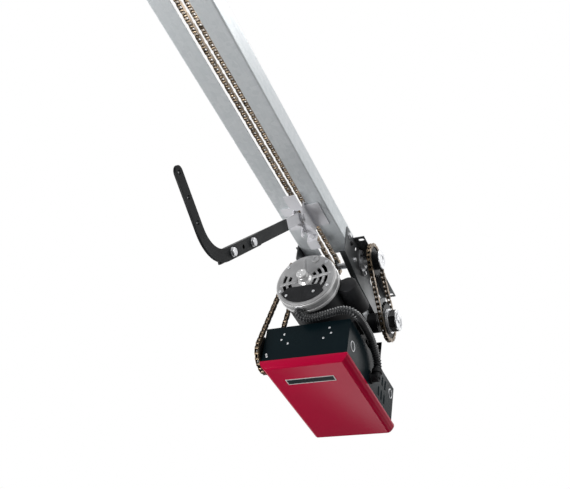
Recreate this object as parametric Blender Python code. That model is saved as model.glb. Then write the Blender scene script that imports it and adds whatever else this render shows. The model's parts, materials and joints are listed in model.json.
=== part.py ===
"""Trolley door opener: an angle-iron rail with a chain-drawn trolley and door arm, and its power head.

Rail coordinates are used throughout: X runs across the rail, Y along it from the door wall to the
power head, Z up to the ceiling, and z = 0 is the underside of the rail's flanges. The world origin
is the middle of the right-hand ceiling hanger flange, so finish() subtracts HANGER from every place.
"""
import math

import bmesh
import bpy
from mathutils import Matrix, Vector

MM = 0.001
GAP = 0.3 * MM                       # clearance between pieces that touch or run in each other

# Rail: two steel angles, feet turned in
RAIL_WIDTH = 125 * MM
RAIL_SLOT = 36 * MM                  # open gap between the two feet
RAIL_HEIGHT = 48 * MM
RAIL_WALL = 2.5 * MM
RAIL_FRONT = -700 * MM
RAIL_BACK = 148 * MM

# Chain, 12.7 mm pitch
PITCH = 12.7 * MM
CHAIN_WIDTH = 10 * MM
CHAIN_HEIGHT = 11 * MM
LINK_PLATE = 1.6 * MM
TOOTH_WIDTH = 5.6 * MM
TOOTH_TIP = 2.8 * MM                 # tooth tip beyond the pitch circle
TOOTH_ROOM = 1.1 * MM                # from the tooth tips to the back of the chain
TOOTH_ROOT = 4.0 * MM                # tooth root inside the pitch circle

# Head frame: two side plates with hanger flanges
PLATE = 2.4 * MM
FRAME_FRONT = 101 * MM
FRAME_BACK = 396 * MM
FRAME_TOP = 38.4 * MM
FLANGE_FRONT = 144 * MM
FLANGE_REACH = 28 * MM
LIP = 12 * MM
PLATE_INNER = RAIL_WIDTH / 2 + GAP   # inner face of a side plate
PLATE_OUTER = PLATE_INNER + PLATE
HANGER = Vector((PLATE_OUTER + FLANGE_REACH / 2, (FLANGE_FRONT + FRAME_BACK) / 2, FRAME_TOP))

# Output shaft across the frame
SHAFT_R = 8.5 * MM
OUT_Y = 209 * MM
OUT_Z = 8 * MM
DRIVE_TEETH = 8
REDUCTION_TEETH = 20
CLUTCH_TEETH = 24
LIMIT_DRIVE_TEETH = 12
LIMIT_TEETH = 20
SIDE_CHAIN_X = PLATE_OUTER + 35.3 * MM  # plane of the chain from the clutch to the output shaft
LIMIT_CHAIN_X = -PLATE_OUTER - 55.8 * MM  # plane of the chain down to the limit shaft
END_DISC_X = PLATE_OUTER + 52.8 * MM
END_DISC_R = 24 * MM
HUB_R = 23.5 * MM

# Idler at the door end
IDLER_TEETH = 8
IDLER_Y = RAIL_FRONT + 46 * MM
IDLER_Z = 10 * MM
AXLE_R = 6 * MM

# Gearbox and clutch
GEAR_Y = 337 * MM
GEAR_Z = -89 * MM
GEAR_X = (-44 * MM, 24 * MM)
GEARBOX_Y = (268 * MM, 390 * MM)
GEARBOX_BOTTOM = -170 * MM
MOUNT_Z = -45 * MM                   # underside of the gearbox mounting plate
GEAR_WALL = 5 * MM
BOSS_END_X = PLATE_OUTER + 12.8 * MM
BOSS_R = 25.5 * MM
WORM_R = 7 * MM
WHEEL_R = 37.2 * MM
CLUTCH_DISC_R = 32 * MM
CLUTCH_RING_R = 27 * MM
CLUTCH_RING_X = PLATE_OUTER + 60.8 * MM

# Motor
MOTOR_X = -13 * MM
MOTOR_Z = GEAR_Z - 45 * MM
MOTOR_R = 72 * MM
BELL_R = 75 * MM
BELL_FRONT = 75 * MM
BELL_DEPTH = 35 * MM
STATOR_BACK = 215 * MM
ROTOR_R = 38 * MM
WORM_SHAFT_R = 6.7 * MM
CAP_HUB_R = 13 * MM
HUB_FRONT = 50 * MM

# Control box
BOX_X = (-113 * MM, 98 * MM)
BOX_Y = (115.5 * MM, 422 * MM)
BOX_TOP = -235 * MM
COVER_BOTTOM = -346.7 * MM
LIP_Z = COVER_BOTTOM + 21 * MM        # upper edge of the cover's lip
SHEET = 1.5 * MM
COVER_SHEET = 1.2 * MM
COVER_OVERHANG = 18 * MM             # the cover reaches this far past the box's rear wall
COVER_RINGS = (                      # height over the bottom, then how far the side and front walls lean in
    (21 * MM, 0.0, 0.0), (15 * MM, 0.0, 0.0), (7.5 * MM, 4 * MM, 1.5 * MM), (2.4 * MM, 8.5 * MM, 3.5 * MM),
    (0.0, 13.4 * MM, 6.6 * MM))
HINGE_PIN_R = 2 * MM

# Limit shaft in the control box
LIMIT_Y = 142 * MM
LIMIT_Z = -291 * MM
LIMIT_SHAFT_R = 6 * MM
LIMIT_NUT_X = (-62 * MM, 22 * MM)
LIMIT_NUT_SIZE = 15 * MM

# Trolley and door arm
TROLLEY_TOP = 3.2 * MM
TROLLEY_SHEET = 2.5 * MM
WEB_X = 9.2 * MM                     # inner face of the trolley's upright webs
TAB_TOP = -16 * MM                   # top of the plate that runs under the chain
TAIL_Y = 52 * MM                      # upright step behind the tab, and the height of its foot
TAIL_Z = -35.5 * MM
PIVOT_Y = -26 * MM
PIVOT_Z = -30.4 * MM
PIN_R = 5 * MM
ARM_ANGLE = math.atan2(-0.7824, -0.6228)
ARM_WIDTH = 26 * MM
ARM_SHEET = 5 * MM
LINK_X = (-2.7 * MM, 3.0 * MM)
STRAIGHT_RUN = (97 * MM, 446 * MM)   # distances from the pivot along the arm
CURVED_START = 265 * MM
CURVED_TANGENT = 420 * MM
CURVED_RADIUS = 80 * MM
CURVED_TURN = math.radians(77)
CURVED_LEG = 112 * MM
ARM_BOLTS = (302 * MM, 397 * MM)
BOLT_R = 5 * MM

# Conduit from the motor to the control box
CONDUIT_R = 10 * MM
CONDUIT_ROUTE = [
    (-24, 90, -213), (-24, 90, -217), (-20, 92, -224), (-11, 95, -230), (1, 98, -232), (14, 99, -231), (30, 100, -228),
    (46, 100, -225), (62, 100, -222), (76, 100, -220), (88, 100, -221), (99, 102, -224), (107, 108, -227),
    (111, 118, -228), (112, 132, -227), (112, 150, -225), (112, 170, -225), (112, 192, -226),
    (112, 213, -230), (112, 232, -238), (112, 248, -247), (112, 260, -257), (112, 266, -268), (112, 266, -278),
]
BOX_ENTRY = (266 * MM, -300 * MM)    # Y and Z of the conduit's hole in the box

GALVANISED = ("galvanised", (0.56, 0.58, 0.60), 0.38, 0.9)
ZINC = ("zinc", (0.62, 0.63, 0.64), 0.35, 0.9)
BLACK_STEEL = ("black_steel", (0.022, 0.025, 0.027), 0.42, 0.3)
CAST_BLACK = ("cast_black", (0.018, 0.019, 0.021), 0.55, 0.3)
CHAIN_STEEL = ("chain_steel", (0.12, 0.09, 0.06), 0.35, 0.9)
CAST_ALLOY = ("cast_alloy", (0.42, 0.42, 0.43), 0.45, 0.8)
RED_PAINT = ("red_paint", (0.33, 0.004, 0.03), 0.3, 0.1)
BLACK_PLASTIC = ("black_plastic", (0.015, 0.015, 0.017), 0.5, 0.0)
BOARD_GREEN = ("board_green", (0.02, 0.12, 0.05), 0.5, 0.0)
BRASS = ("brass", (0.62, 0.45, 0.16), 0.35, 1.0)


def material(spec):
    """Return the shared material of this name, making it the first time."""
    name, colour, roughness, metallic = spec
    found = bpy.data.materials.get(name)
    if found:
        return found
    made = bpy.data.materials.new(name)
    made.use_nodes = True
    shader = made.node_tree.nodes["Principled BSDF"]
    shader.inputs["Base Color"].default_value = (*colour, 1.0)
    shader.inputs["Roughness"].default_value = roughness
    shader.inputs["Metallic"].default_value = metallic
    made.diffuse_color = (*colour, 1.0)
    return made


def finish(name, bm, at, spec, smooth=None):
    """Turn a bmesh in rail coordinates into an object whose origin is at the point `at`."""
    bmesh.ops.translate(bm, verts=bm.verts, vec=-Vector(at))
    bmesh.ops.recalc_face_normals(bm, faces=bm.faces)
    mesh = bpy.data.meshes.new(name)
    bm.to_mesh(mesh)
    bm.free()
    if smooth:
        mesh.shade_smooth()
        mesh.set_sharp_from_angle(angle=math.radians(smooth))
    item = bpy.data.objects.new(name, mesh)
    item.location = Vector(at) - HANGER
    mesh.materials.append(material(spec))
    bpy.context.collection.objects.link(item)
    return item


def on_axis(axis, u, v, w):
    """Map plane coordinates u, v and height w to XYZ: X takes (y, z), Y takes (x, z), Z takes (x, y)."""
    if axis == "X":
        return (w, u, v)
    if axis == "Y":
        return (u, w, v)
    return (u, v, w)


def add_block(bm, x, y, z):
    """Add a closed box to a bmesh, each side given as a (low, high) pair."""
    made = bmesh.ops.create_cube(bm, size=1.0)["verts"]
    for vert in made:
        vert.co = Vector([low + (high - low) * (c + 0.5) for c, (low, high) in zip(vert.co, (x, y, z))])


def add_prism(bm, axis, low, high, outline, holes=()):
    """Add an outline with round or other holes, drawn out along an axis between two heights."""
    edges = []
    for loop in (outline, *holes):
        ring = [bm.verts.new(on_axis(axis, u, v, low)) for u, v in loop]
        edges += [bm.edges.new((ring[i], ring[i - 1])) for i in range(len(ring))]
    filled = bmesh.ops.triangle_fill(bm, edges=edges, use_beauty=True)["geom"]
    faces = [g for g in filled if isinstance(g, bmesh.types.BMFace)]
    grown = bmesh.ops.extrude_face_region(bm, geom=faces, use_keep_orig=True)["geom"]
    step = Vector(on_axis(axis, 0.0, 0.0, high - low))
    bmesh.ops.translate(bm, verts=[g for g in grown if isinstance(g, bmesh.types.BMVert)], vec=step)


def add_turned(bm, axis, centre, profile, segments=32):
    """Revolve a closed profile of (radius, height) points about an axis through `centre` (u, v)."""
    rings = []
    for radius, height in profile:
        if radius == 0.0:
            rings.append([bm.verts.new(on_axis(axis, centre[0], centre[1], height))])
            continue
        ring = []
        for i in range(segments):
            turn = 2 * math.pi * i / segments
            u = centre[0] + radius * math.cos(turn)
            v = centre[1] + radius * math.sin(turn)
            ring.append(bm.verts.new(on_axis(axis, u, v, height)))
        rings.append(ring)
    for first, second in zip(rings, rings[1:] + rings[:1]):
        for i in range(segments):
            corners = [first[i % len(first)], first[(i + 1) % len(first)],
                       second[(i + 1) % len(second)], second[i % len(second)]]
            unique = list(dict.fromkeys(corners))
            if len(unique) > 2:
                bm.faces.new(unique)


def circle(u, v, radius, count=12):
    """Points of a circle."""
    return [(u + radius * math.cos(2 * math.pi * i / count),
             v + radius * math.sin(2 * math.pi * i / count)) for i in range(count)]


def arc(u, v, radius, start, stop, count):
    """Points along an arc, from one angle to another in radians, both ends included."""
    return [(u + radius * math.cos(start + (stop - start) * i / count),
             v + radius * math.sin(start + (stop - start) * i / count)) for i in range(count + 1)]


def slot(u, v, length, width, angle=0.0, count=4):
    """A round-ended slot centred on (u, v); its length is the full length and lies at `angle`."""
    reach = (length - width) / 2
    ends = arc(reach, 0, width / 2, -math.pi / 2, math.pi / 2, count)
    ends += arc(-reach, 0, width / 2, math.pi / 2, math.pi * 1.5, count)
    c, s = math.cos(angle), math.sin(angle)
    return [(u + a * c - b * s, v + a * s + b * c) for a, b in ends]


def pitch_radius(teeth):
    """Pitch radius of a sprocket for this chain."""
    return PITCH / (2 * math.sin(math.pi / teeth))


def belt(first, second, shift, count=10):
    """Outline round two circles (u, v, radius), each radius changed by `shift`."""
    (u1, v1, r1), (u2, v2, r2) = first, second
    span = math.hypot(u2 - u1, v2 - v1)
    way = math.atan2(v2 - v1, u2 - u1)
    lean = math.acos((r1 - r2) / span)
    return (arc(u1, v1, r1 + shift, way + lean, way + 2 * math.pi - lean, count)
            + arc(u2, v2, r2 + shift, way - lean, way + lean, count))


def unite(target, bm, spec_name="union"):
    """Join a second closed body onto an object with an exact Boolean."""
    mesh = bpy.data.meshes.new(target.name + "_" + spec_name)
    bmesh.ops.translate(bm, verts=bm.verts, vec=-HANGER)
    bmesh.ops.recalc_face_normals(bm, faces=bm.faces)
    bm.to_mesh(mesh)
    bm.free()
    boolean(target, mesh, "UNION")


def cut(target, bm):
    """Cut a closed body away from an object with an exact Boolean."""
    mesh = bpy.data.meshes.new(target.name + "_cutter")
    bmesh.ops.translate(bm, verts=bm.verts, vec=-HANGER)
    bmesh.ops.recalc_face_normals(bm, faces=bm.faces)
    bm.to_mesh(mesh)
    bm.free()
    boolean(target, mesh, "DIFFERENCE")


def boolean(target, mesh, operation):
    """Add an EXACT Boolean modifier that works with a hidden tool object."""
    tool = bpy.data.objects.new(mesh.name, mesh)
    tool.hide_render = True
    tool.display_type = "WIRE"
    bpy.context.collection.objects.link(tool)
    step = target.modifiers.new(operation.lower(), "BOOLEAN")
    step.operation = operation
    step.solver = "EXACT"
    step.object = tool


def round_edges(item, width, segments=2, limit=40):
    """Round an object's sharp edges with a Bevel modifier."""
    step = item.modifiers.new("round", "BEVEL")
    step.width = width
    step.segments = segments
    step.limit_method = "ANGLE"
    step.angle_limit = math.radians(limit)


def prism(name, axis, low, high, outline, spec, at=None, holes=(), smooth=None):
    """One object made of one prism."""
    bm = bmesh.new()
    add_prism(bm, axis, low, high, outline, holes)
    return finish(name, bm, at or (0, 0, 0), spec, smooth)


def turned(name, axis, centre, profile, spec, at=None, segments=32, smooth=35):
    """One object made of one turned profile."""
    bm = bmesh.new()
    add_turned(bm, axis, centre, profile, segments)
    return finish(name, bm, at or (0, 0, 0), spec, smooth)


def block(name, x, y, z, spec, at=None):
    """One object made of one box."""
    bm = bmesh.new()
    add_block(bm, x, y, z)
    return finish(name, bm, at or (0, 0, 0), spec)


def tool_block(x, y, z):
    """A bmesh holding one box, for unite() and cut()."""
    bm = bmesh.new()
    add_block(bm, x, y, z)
    return bm


def tool_prism(axis, low, high, outline, holes=()):
    """A bmesh holding one prism, for unite() and cut()."""
    bm = bmesh.new()
    add_prism(bm, axis, low, high, outline, holes)
    return bm


def rim(name, axis, centre, inner, outer, low, high, spec, at=None, segments=32):
    """A plain ring or bush between two radii and two heights."""
    profile = [(inner, low), (outer, low), (outer, high), (inner, high)]
    return turned(name, axis, centre, profile, spec, at, segments)


def sprocket(name, centre, plane, teeth, bore, spec, hub=None, at=None):
    """A toothed wheel about an X axis through `centre` (y, z), its teeth in the plane x = `plane`."""
    pitch = pitch_radius(teeth)
    outline = []
    for i in range(teeth):
        for share, radius in ((-0.26, pitch - TOOTH_ROOT), (0.26, pitch - TOOTH_ROOT),
                              (0.46, pitch + TOOTH_TIP), (0.54, pitch + TOOTH_TIP)):
            turn = 2 * math.pi * (i + share) / teeth
            outline.append((centre[0] + radius * math.cos(turn), centre[1] + radius * math.sin(turn)))
    half = TOOTH_WIDTH / 2
    item = prism(name, "X", plane - half, plane + half, outline, spec, at or (plane, *centre),
                 holes=[circle(*centre, bore, 16)])
    if hub:
        bm = bmesh.new()
        low, high, radius = hub
        add_turned(bm, "X", centre, [(bore, low), (radius, low), (radius, high), (bore, high)], 16)
        unite(item, bm)
    return item


def chain_loop(name, plane, first, second, spec):
    """A closed chain round two sprockets (y, z, teeth): a U-section band open towards the teeth."""
    ends = [(y, z, pitch_radius(teeth)) for y, z, teeth in (first, second)]
    half = CHAIN_HEIGHT / 2
    roof = TOOTH_TIP + TOOTH_ROOM
    wide = CHAIN_WIDTH / 2
    narrow = wide - LINK_PLATE
    section = [(-half, wide), (half, wide), (half, -wide), (-half, -wide),
               (-half, -narrow), (roof, -narrow), (roof, narrow), (-half, narrow)]
    bm = bmesh.new()
    rings = []
    for shift, side in section:
        loop = belt(*ends, shift)
        rings.append([bm.verts.new((plane + side, u, v)) for u, v in loop])
    for i, ring in enumerate(rings):
        other = rings[(i + 1) % len(rings)]
        for j in range(len(ring)):
            k = (j + 1) % len(ring)
            bm.faces.new((ring[j], ring[k], other[k], other[j]))
    return finish(name, bm, (plane, first[0], first[1]), spec, smooth=40)


def arm_point(run, side=0.0):
    """Point (y, z) at a distance from the pivot along the arm, and `side` to its upper side."""
    c, s = math.cos(ARM_ANGLE), math.sin(ARM_ANGLE)
    return (PIVOT_Y + run * c + side * s, PIVOT_Z + run * s - side * c)


def bar_outline(start, stop, width, round_start=False, round_stop=False):
    """Outline of a flat bar along the arm between two distances, its ends square or round."""
    half = width / 2
    tail = arc(stop - half, 0, half, -math.pi / 2, math.pi / 2, 8) if round_stop \
        else [(stop, -half), (stop, half)]
    nose = arc(start + half, 0, half, math.pi / 2, math.pi * 1.5, 8) if round_start \
        else [(start, half), (start, -half)]
    return [arm_point(u, v) for u, v in tail + nose]


def rail():
    """Both rail angles, the door-end bracket, and the idler with its axle."""
    half = RAIL_WIDTH / 2
    bend = 4 * MM
    for side, name in ((-1, "left_rail"), (1, "right_rail")):
        foot = half - (RAIL_WIDTH - RAIL_SLOT) / 2
        section = [(side * foot, 0.0)]
        section += [(side * u, v) for u, v in arc(half - bend, bend, bend, -math.pi / 2, 0, 4)]
        section += [(side * half, RAIL_HEIGHT), (side * (half - RAIL_WALL), RAIL_HEIGHT)]
        inner = arc(half - bend, bend, bend - RAIL_WALL, 0, -math.pi / 2, 4)
        section += [(side * u, v) for u, v in inner]
        section += [(side * foot, RAIL_WALL)]
        item = prism(name, "Y", RAIL_FRONT, RAIL_BACK, section, GALVANISED, smooth=30)
        reach = (half - RAIL_WALL - GAP) * side
        bolt = circle(IDLER_Y, IDLER_Z, AXLE_R + GAP)
        cut(item, tool_prism("X", *sorted((reach, side * (half + GAP))), bolt))

    arm_out = half - RAIL_WALL - GAP
    arm_in = arm_out - 3 * MM
    front = RAIL_FRONT - 14 * MM
    low = bend + GAP
    item = block("header_bracket", (-arm_out, -arm_in), (front, IDLER_Y + 26 * MM),
                 (low, RAIL_HEIGHT), BLACK_STEEL, (0, front, 0))
    unite(item, tool_block((arm_in, arm_out), (front, IDLER_Y + 26 * MM), (low, RAIL_HEIGHT)), "arm")
    holes = [slot(x * MM, z * MM, 22 * MM, 9 * MM) for x in (-58, 58) for z in (-26, 74)]
    plate = tool_prism("Y", front - 4 * MM, front + GAP,
                       [(-80 * MM, -45 * MM), (80 * MM, -45 * MM), (80 * MM, 92 * MM), (-80 * MM, 92 * MM)],
                       holes)
    unite(item, plate, "plate")
    for side in (-1, 1):
        through = circle(IDLER_Y, IDLER_Z, AXLE_R + GAP)
        span = sorted((side * (arm_in - 2 * MM), side * (arm_out + 2 * MM)))
        cut(item, tool_prism("X", *span, through))

    head = half + GAP
    profile = [(0.0, -head - 7 * MM), (AXLE_R * 1.7, -head - 7 * MM), (AXLE_R * 1.7, -head),
               (AXLE_R, -head), (AXLE_R, head), (AXLE_R * 1.7, head), (AXLE_R * 1.7, head + 8 * MM),
               (0.0, head + 8 * MM)]
    turned("idler_axle", "X", (IDLER_Y, IDLER_Z), profile, ZINC, (0, IDLER_Y, IDLER_Z), 16)
    sprocket("idler_sprocket", (IDLER_Y, IDLER_Z), 0.0, IDLER_TEETH, AXLE_R + GAP, BLACK_STEEL,
             hub=(-9 * MM, 9 * MM, 10.5 * MM))
    chain_loop("rail_chain", 0.0, (IDLER_Y, IDLER_Z, IDLER_TEETH), (OUT_Y, OUT_Z, DRIVE_TEETH), CHAIN_STEEL)


def frame():
    """Side plates, gearbox mounting plate, bearings and the box's rear hanger."""
    edge = [(105 * MM, -36 * MM), (216 * MM, -56 * MM), (321 * MM, -62 * MM), (FRAME_BACK, -64 * MM)]
    profile = [(FRAME_FRONT, FRAME_TOP)] + edge + [(FRAME_BACK, FRAME_TOP)]
    holes = [circle(OUT_Y, OUT_Z, 17 * MM, 20), circle(119 * MM, 24 * MM, 4.5 * MM),
             slot(167 * MM, 20 * MM, 17 * MM, 7 * MM, math.radians(70)), circle(136 * MM, 12 * MM, 4 * MM),
             circle(166 * MM, -17 * MM, 3 * MM), circle(290 * MM, 10 * MM, 12 * MM, 24),
             slot(350 * MM, 10 * MM, 30 * MM, 9 * MM)]
    lip = edge + [(y, z + PLATE) for y, z in reversed(edge)]
    for side, name in ((-1, "frame_plate_left"), (1, "frame_plate_right")):
        span = sorted((side * PLATE_INNER, side * PLATE_OUTER))
        item = prism(name, "X", *span, profile, BLACK_STEEL, holes=holes)
        inward = sorted((side * (PLATE_OUTER - 0.5 * MM), side * (PLATE_OUTER - LIP - PLATE)))
        unite(item, tool_prism("X", *inward, lip), "lip")
        reach = sorted((side * (PLATE_OUTER - PLATE / 2), side * (PLATE_OUTER + FLANGE_REACH)))
        corners = [(reach[0], FLANGE_FRONT), (reach[1], FLANGE_FRONT), (reach[1], FRAME_BACK),
                   (reach[0], FRAME_BACK)]
        mid = side * (PLATE_OUTER + FLANGE_REACH * 0.62)
        slots = [slot(mid, y * MM, 15 * MM, 9 * MM) for y in (155, 386)]
        unite(item, tool_prism("Z", FRAME_TOP - PLATE, FRAME_TOP, corners, slots), "flange")

    wide = PLATE_INNER - GAP
    item = block("gearbox_mount_plate", (-wide, wide), (250 * MM, FRAME_BACK), (MOUNT_Z, MOUNT_Z + 3 * MM),
                 GALVANISED)
    unite(item, tool_block((-wide, wide), (FRAME_BACK - 3 * MM, FRAME_BACK), (MOUNT_Z, FRAME_TOP - 4 * MM)))

    for side, name in ((-1, "shaft_bearing_left"), (1, "shaft_bearing_right")):
        face = PLATE_OUTER + GAP
        ear = 27 * MM
        tilt = math.radians(-45)
        outline = []
        outline += [(OUT_Y + a, OUT_Z + b) for a, b in arc(0, 0, 21 * MM, tilt + 0.9, tilt + math.pi - 0.9, 4)]
        outline += [(OUT_Y - ear * math.cos(tilt) + a, OUT_Z - ear * math.sin(tilt) + b)
                    for a, b in arc(0, 0, 7.5 * MM, tilt + math.pi - 0.9, tilt + math.pi + 0.9, 3)]
        outline += [(OUT_Y + a, OUT_Z + b)
                    for a, b in arc(0, 0, 21 * MM, tilt + math.pi + 0.9, tilt + 2 * math.pi - 0.9, 4)]
        outline += [(OUT_Y + ear * math.cos(tilt) + a, OUT_Z + ear * math.sin(tilt) + b)
                    for a, b in arc(0, 0, 7.5 * MM, tilt - 0.9, tilt + 0.9, 3)]
        flange = sorted((side * face, side * (face + 3.5 * MM)))
        bore = circle(OUT_Y, OUT_Z, SHAFT_R + GAP, 16)
        item = prism(name, "X", *flange, outline, ZINC, (side * face, OUT_Y, OUT_Z), [bore])
        boss = sorted((side * (face - 6 * MM), side * (face + 10 * MM)))
        unite(item, tool_prism("X", *boss, circle(OUT_Y, OUT_Z, 16 * MM, 20), [bore]), "boss")

    low = BOX_TOP + GAP
    item = block("box_rear_hanger", (-64 * MM, 64 * MM), (398 * MM, 401 * MM), (low, -106 * MM), BLACK_STEEL)
    unite(item, tool_block((-64 * MM, 64 * MM), (398 * MM, 418 * MM), (low, low + 3 * MM)), "foot")
    unite(item, tool_block((-30 * MM, 30 * MM), (398 * MM, 401 * MM), (-112 * MM, FRAME_TOP - 12 * MM)), "neck")
    cut(item, tool_prism("Y", 395 * MM, 404 * MM, slot(50 * MM, -119 * MM, 13 * MM, 5 * MM, math.radians(48))))
    for x in (-15 * MM, 15 * MM):
        cut(item, tool_prism("Y", 395 * MM, 404 * MM, circle(x, -10 * MM, 4.5 * MM)))


def output_shaft():
    """The cross shaft with its three sprockets, hub and end disc, all turning together."""
    at = (0, OUT_Y, OUT_Z)
    centre = (OUT_Y, OUT_Z)
    bore = SHAFT_R + GAP
    left = LIMIT_CHAIN_X - 9 * MM
    right = END_DISC_X - GAP
    chamfer = 1.5 * MM
    profile = [(0.0, left), (SHAFT_R - chamfer, left), (SHAFT_R, left + chamfer), (SHAFT_R, right), (0.0, right)]
    turned("output_shaft", "X", centre, profile, ZINC, at, 20)
    sprocket("drive_sprocket", centre, 0.0, DRIVE_TEETH, bore, BLACK_STEEL, hub=(-16 * MM, -GAP, 10.8 * MM),
             at=at)
    sprocket("output_sprocket", centre, SIDE_CHAIN_X, REDUCTION_TEETH, bore, BLACK_STEEL, at=at)
    sprocket("limit_drive_sprocket", centre, LIMIT_CHAIN_X, LIMIT_DRIVE_TEETH, bore, BLACK_STEEL, at=at,
             hub=(LIMIT_CHAIN_X + TOOTH_WIDTH / 2 - GAP, LIMIT_CHAIN_X + 14 * MM, 16 * MM))
    low = SIDE_CHAIN_X + TOOTH_WIDTH / 2 + GAP
    high = END_DISC_X - GAP
    rim("shaft_hub", "X", centre, bore, HUB_R, low, high, CAST_BLACK, at)
    profile = [(0.0, END_DISC_X), (END_DISC_R, END_DISC_X), (END_DISC_R, END_DISC_X + 2 * MM),
               (END_DISC_R - 1 * MM, END_DISC_X + 3 * MM), (12 * MM, END_DISC_X + 3 * MM),
               (11 * MM, END_DISC_X + 1.6 * MM), (0.0, END_DISC_X + 1.6 * MM)]
    turned("shaft_end_disc", "X", centre, profile, ZINC, at)


def gearbox():
    """Worm gearbox, its cover, worm wheel, clutch shaft and the clutch outside."""
    left, right = GEAR_X
    front, back = GEARBOX_Y
    top = MOUNT_Z - GAP
    centre = (GEAR_Y, GEAR_Z)
    at = (0, GEAR_Y, GEAR_Z)
    item = block("gearbox_housing", (left, right), (front, back), (GEARBOX_BOTTOM, top), CAST_BLACK)
    round_edges(item, 4 * MM, 2)
    bm = bmesh.new()
    add_turned(bm, "X", centre, [(0.0, right - 2 * MM), (BOSS_R, right - 2 * MM), (BOSS_R, BOSS_END_X),
                                 (0.0, BOSS_END_X)], 40)
    unite(item, bm, "boss")
    wall = GEAR_WALL
    cut(item, tool_block((left - 5 * MM, right - wall), (front + wall, back - wall),
                         (GEARBOX_BOTTOM + wall, top - wall)))
    bore = SHAFT_R + GAP
    cut(item, tool_prism("X", right - wall - 5 * MM, BOSS_END_X + 5 * MM, circle(*centre, bore, 16)))
    worm_hole = circle(MOTOR_X, MOTOR_Z, WORM_SHAFT_R + GAP)
    cut(item, tool_prism("Y", front - 5 * MM, front + wall + 5 * MM, worm_hole))

    outline = [(front + 4 * MM, GEARBOX_BOTTOM + 4 * MM), (back - 4 * MM, GEARBOX_BOTTOM + 4 * MM),
               (back - 4 * MM, top - 4 * MM), (front + 4 * MM, top - 4 * MM)]
    item = prism("gearbox_cover", "X", left - 4 * MM, left - GAP, outline, CAST_BLACK)
    round_edges(item, 1.2 * MM, 1)
    low = left + 12 * MM
    rim("worm_wheel", "X", centre, bore, WHEEL_R, MOTOR_X - 9 * MM, MOTOR_X + 9 * MM, BRASS, at)

    high = CLUTCH_RING_X + 4 * MM
    profile = [(0.0, low), (SHAFT_R, low), (SHAFT_R, high), (SHAFT_R - 1.5 * MM, high + 1.5 * MM),
               (0.0, high + 1.5 * MM)]
    turned("clutch_shaft", "X", centre, profile, ZINC, at, 32)
    sprocket("clutch_sprocket", centre, SIDE_CHAIN_X, CLUTCH_TEETH, bore, BLACK_STEEL, at=at)
    start = SIDE_CHAIN_X + TOOTH_WIDTH / 2 + GAP
    groove = (start + 2.2 * MM, start + 3.4 * MM)
    stop = groove[1] + 2.2 * MM
    profile = [(bore, start), (CLUTCH_DISC_R, start), (CLUTCH_DISC_R, groove[0]), (CLUTCH_DISC_R - 6 * MM, groove[0]),
               (CLUTCH_DISC_R - 6 * MM, groove[1]), (CLUTCH_DISC_R, groove[1]), (CLUTCH_DISC_R, stop), (bore, stop)]
    turned("clutch_plates", "X", centre, profile, ZINC, at, 32)
    start = stop + GAP
    nut = [(GEAR_Y + 28 * MM * math.cos(a), GEAR_Z + 28 * MM * math.sin(a))
           for a in [math.pi / 3 * i + 0.2 for i in range(6)]]
    item = prism("clutch_nut", "X", start, CLUTCH_RING_X - GAP, nut, CAST_BLACK, at,
                 [circle(*centre, bore, 16)])
    ring_slots = [arc(GEAR_Y, GEAR_Z, 21 * MM, -0.6, 0.8, 5) + arc(GEAR_Y, GEAR_Z, 16 * MM, 0.8, -0.6, 5),
                  arc(GEAR_Y, GEAR_Z, 21 * MM, 2.5, 3.9, 5) + arc(GEAR_Y, GEAR_Z, 16 * MM, 3.9, 2.5, 5)]
    prism("clutch_ring", "X", CLUTCH_RING_X, CLUTCH_RING_X + 3.5 * MM,
          circle(*centre, CLUTCH_RING_R, 32), ZINC, at, [circle(*centre, bore, 16), *ring_slots])
    chain_loop("drive_chain", SIDE_CHAIN_X, (OUT_Y, OUT_Z, REDUCTION_TEETH), (GEAR_Y, GEAR_Z, CLUTCH_TEETH),
               CHAIN_STEEL)


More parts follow.
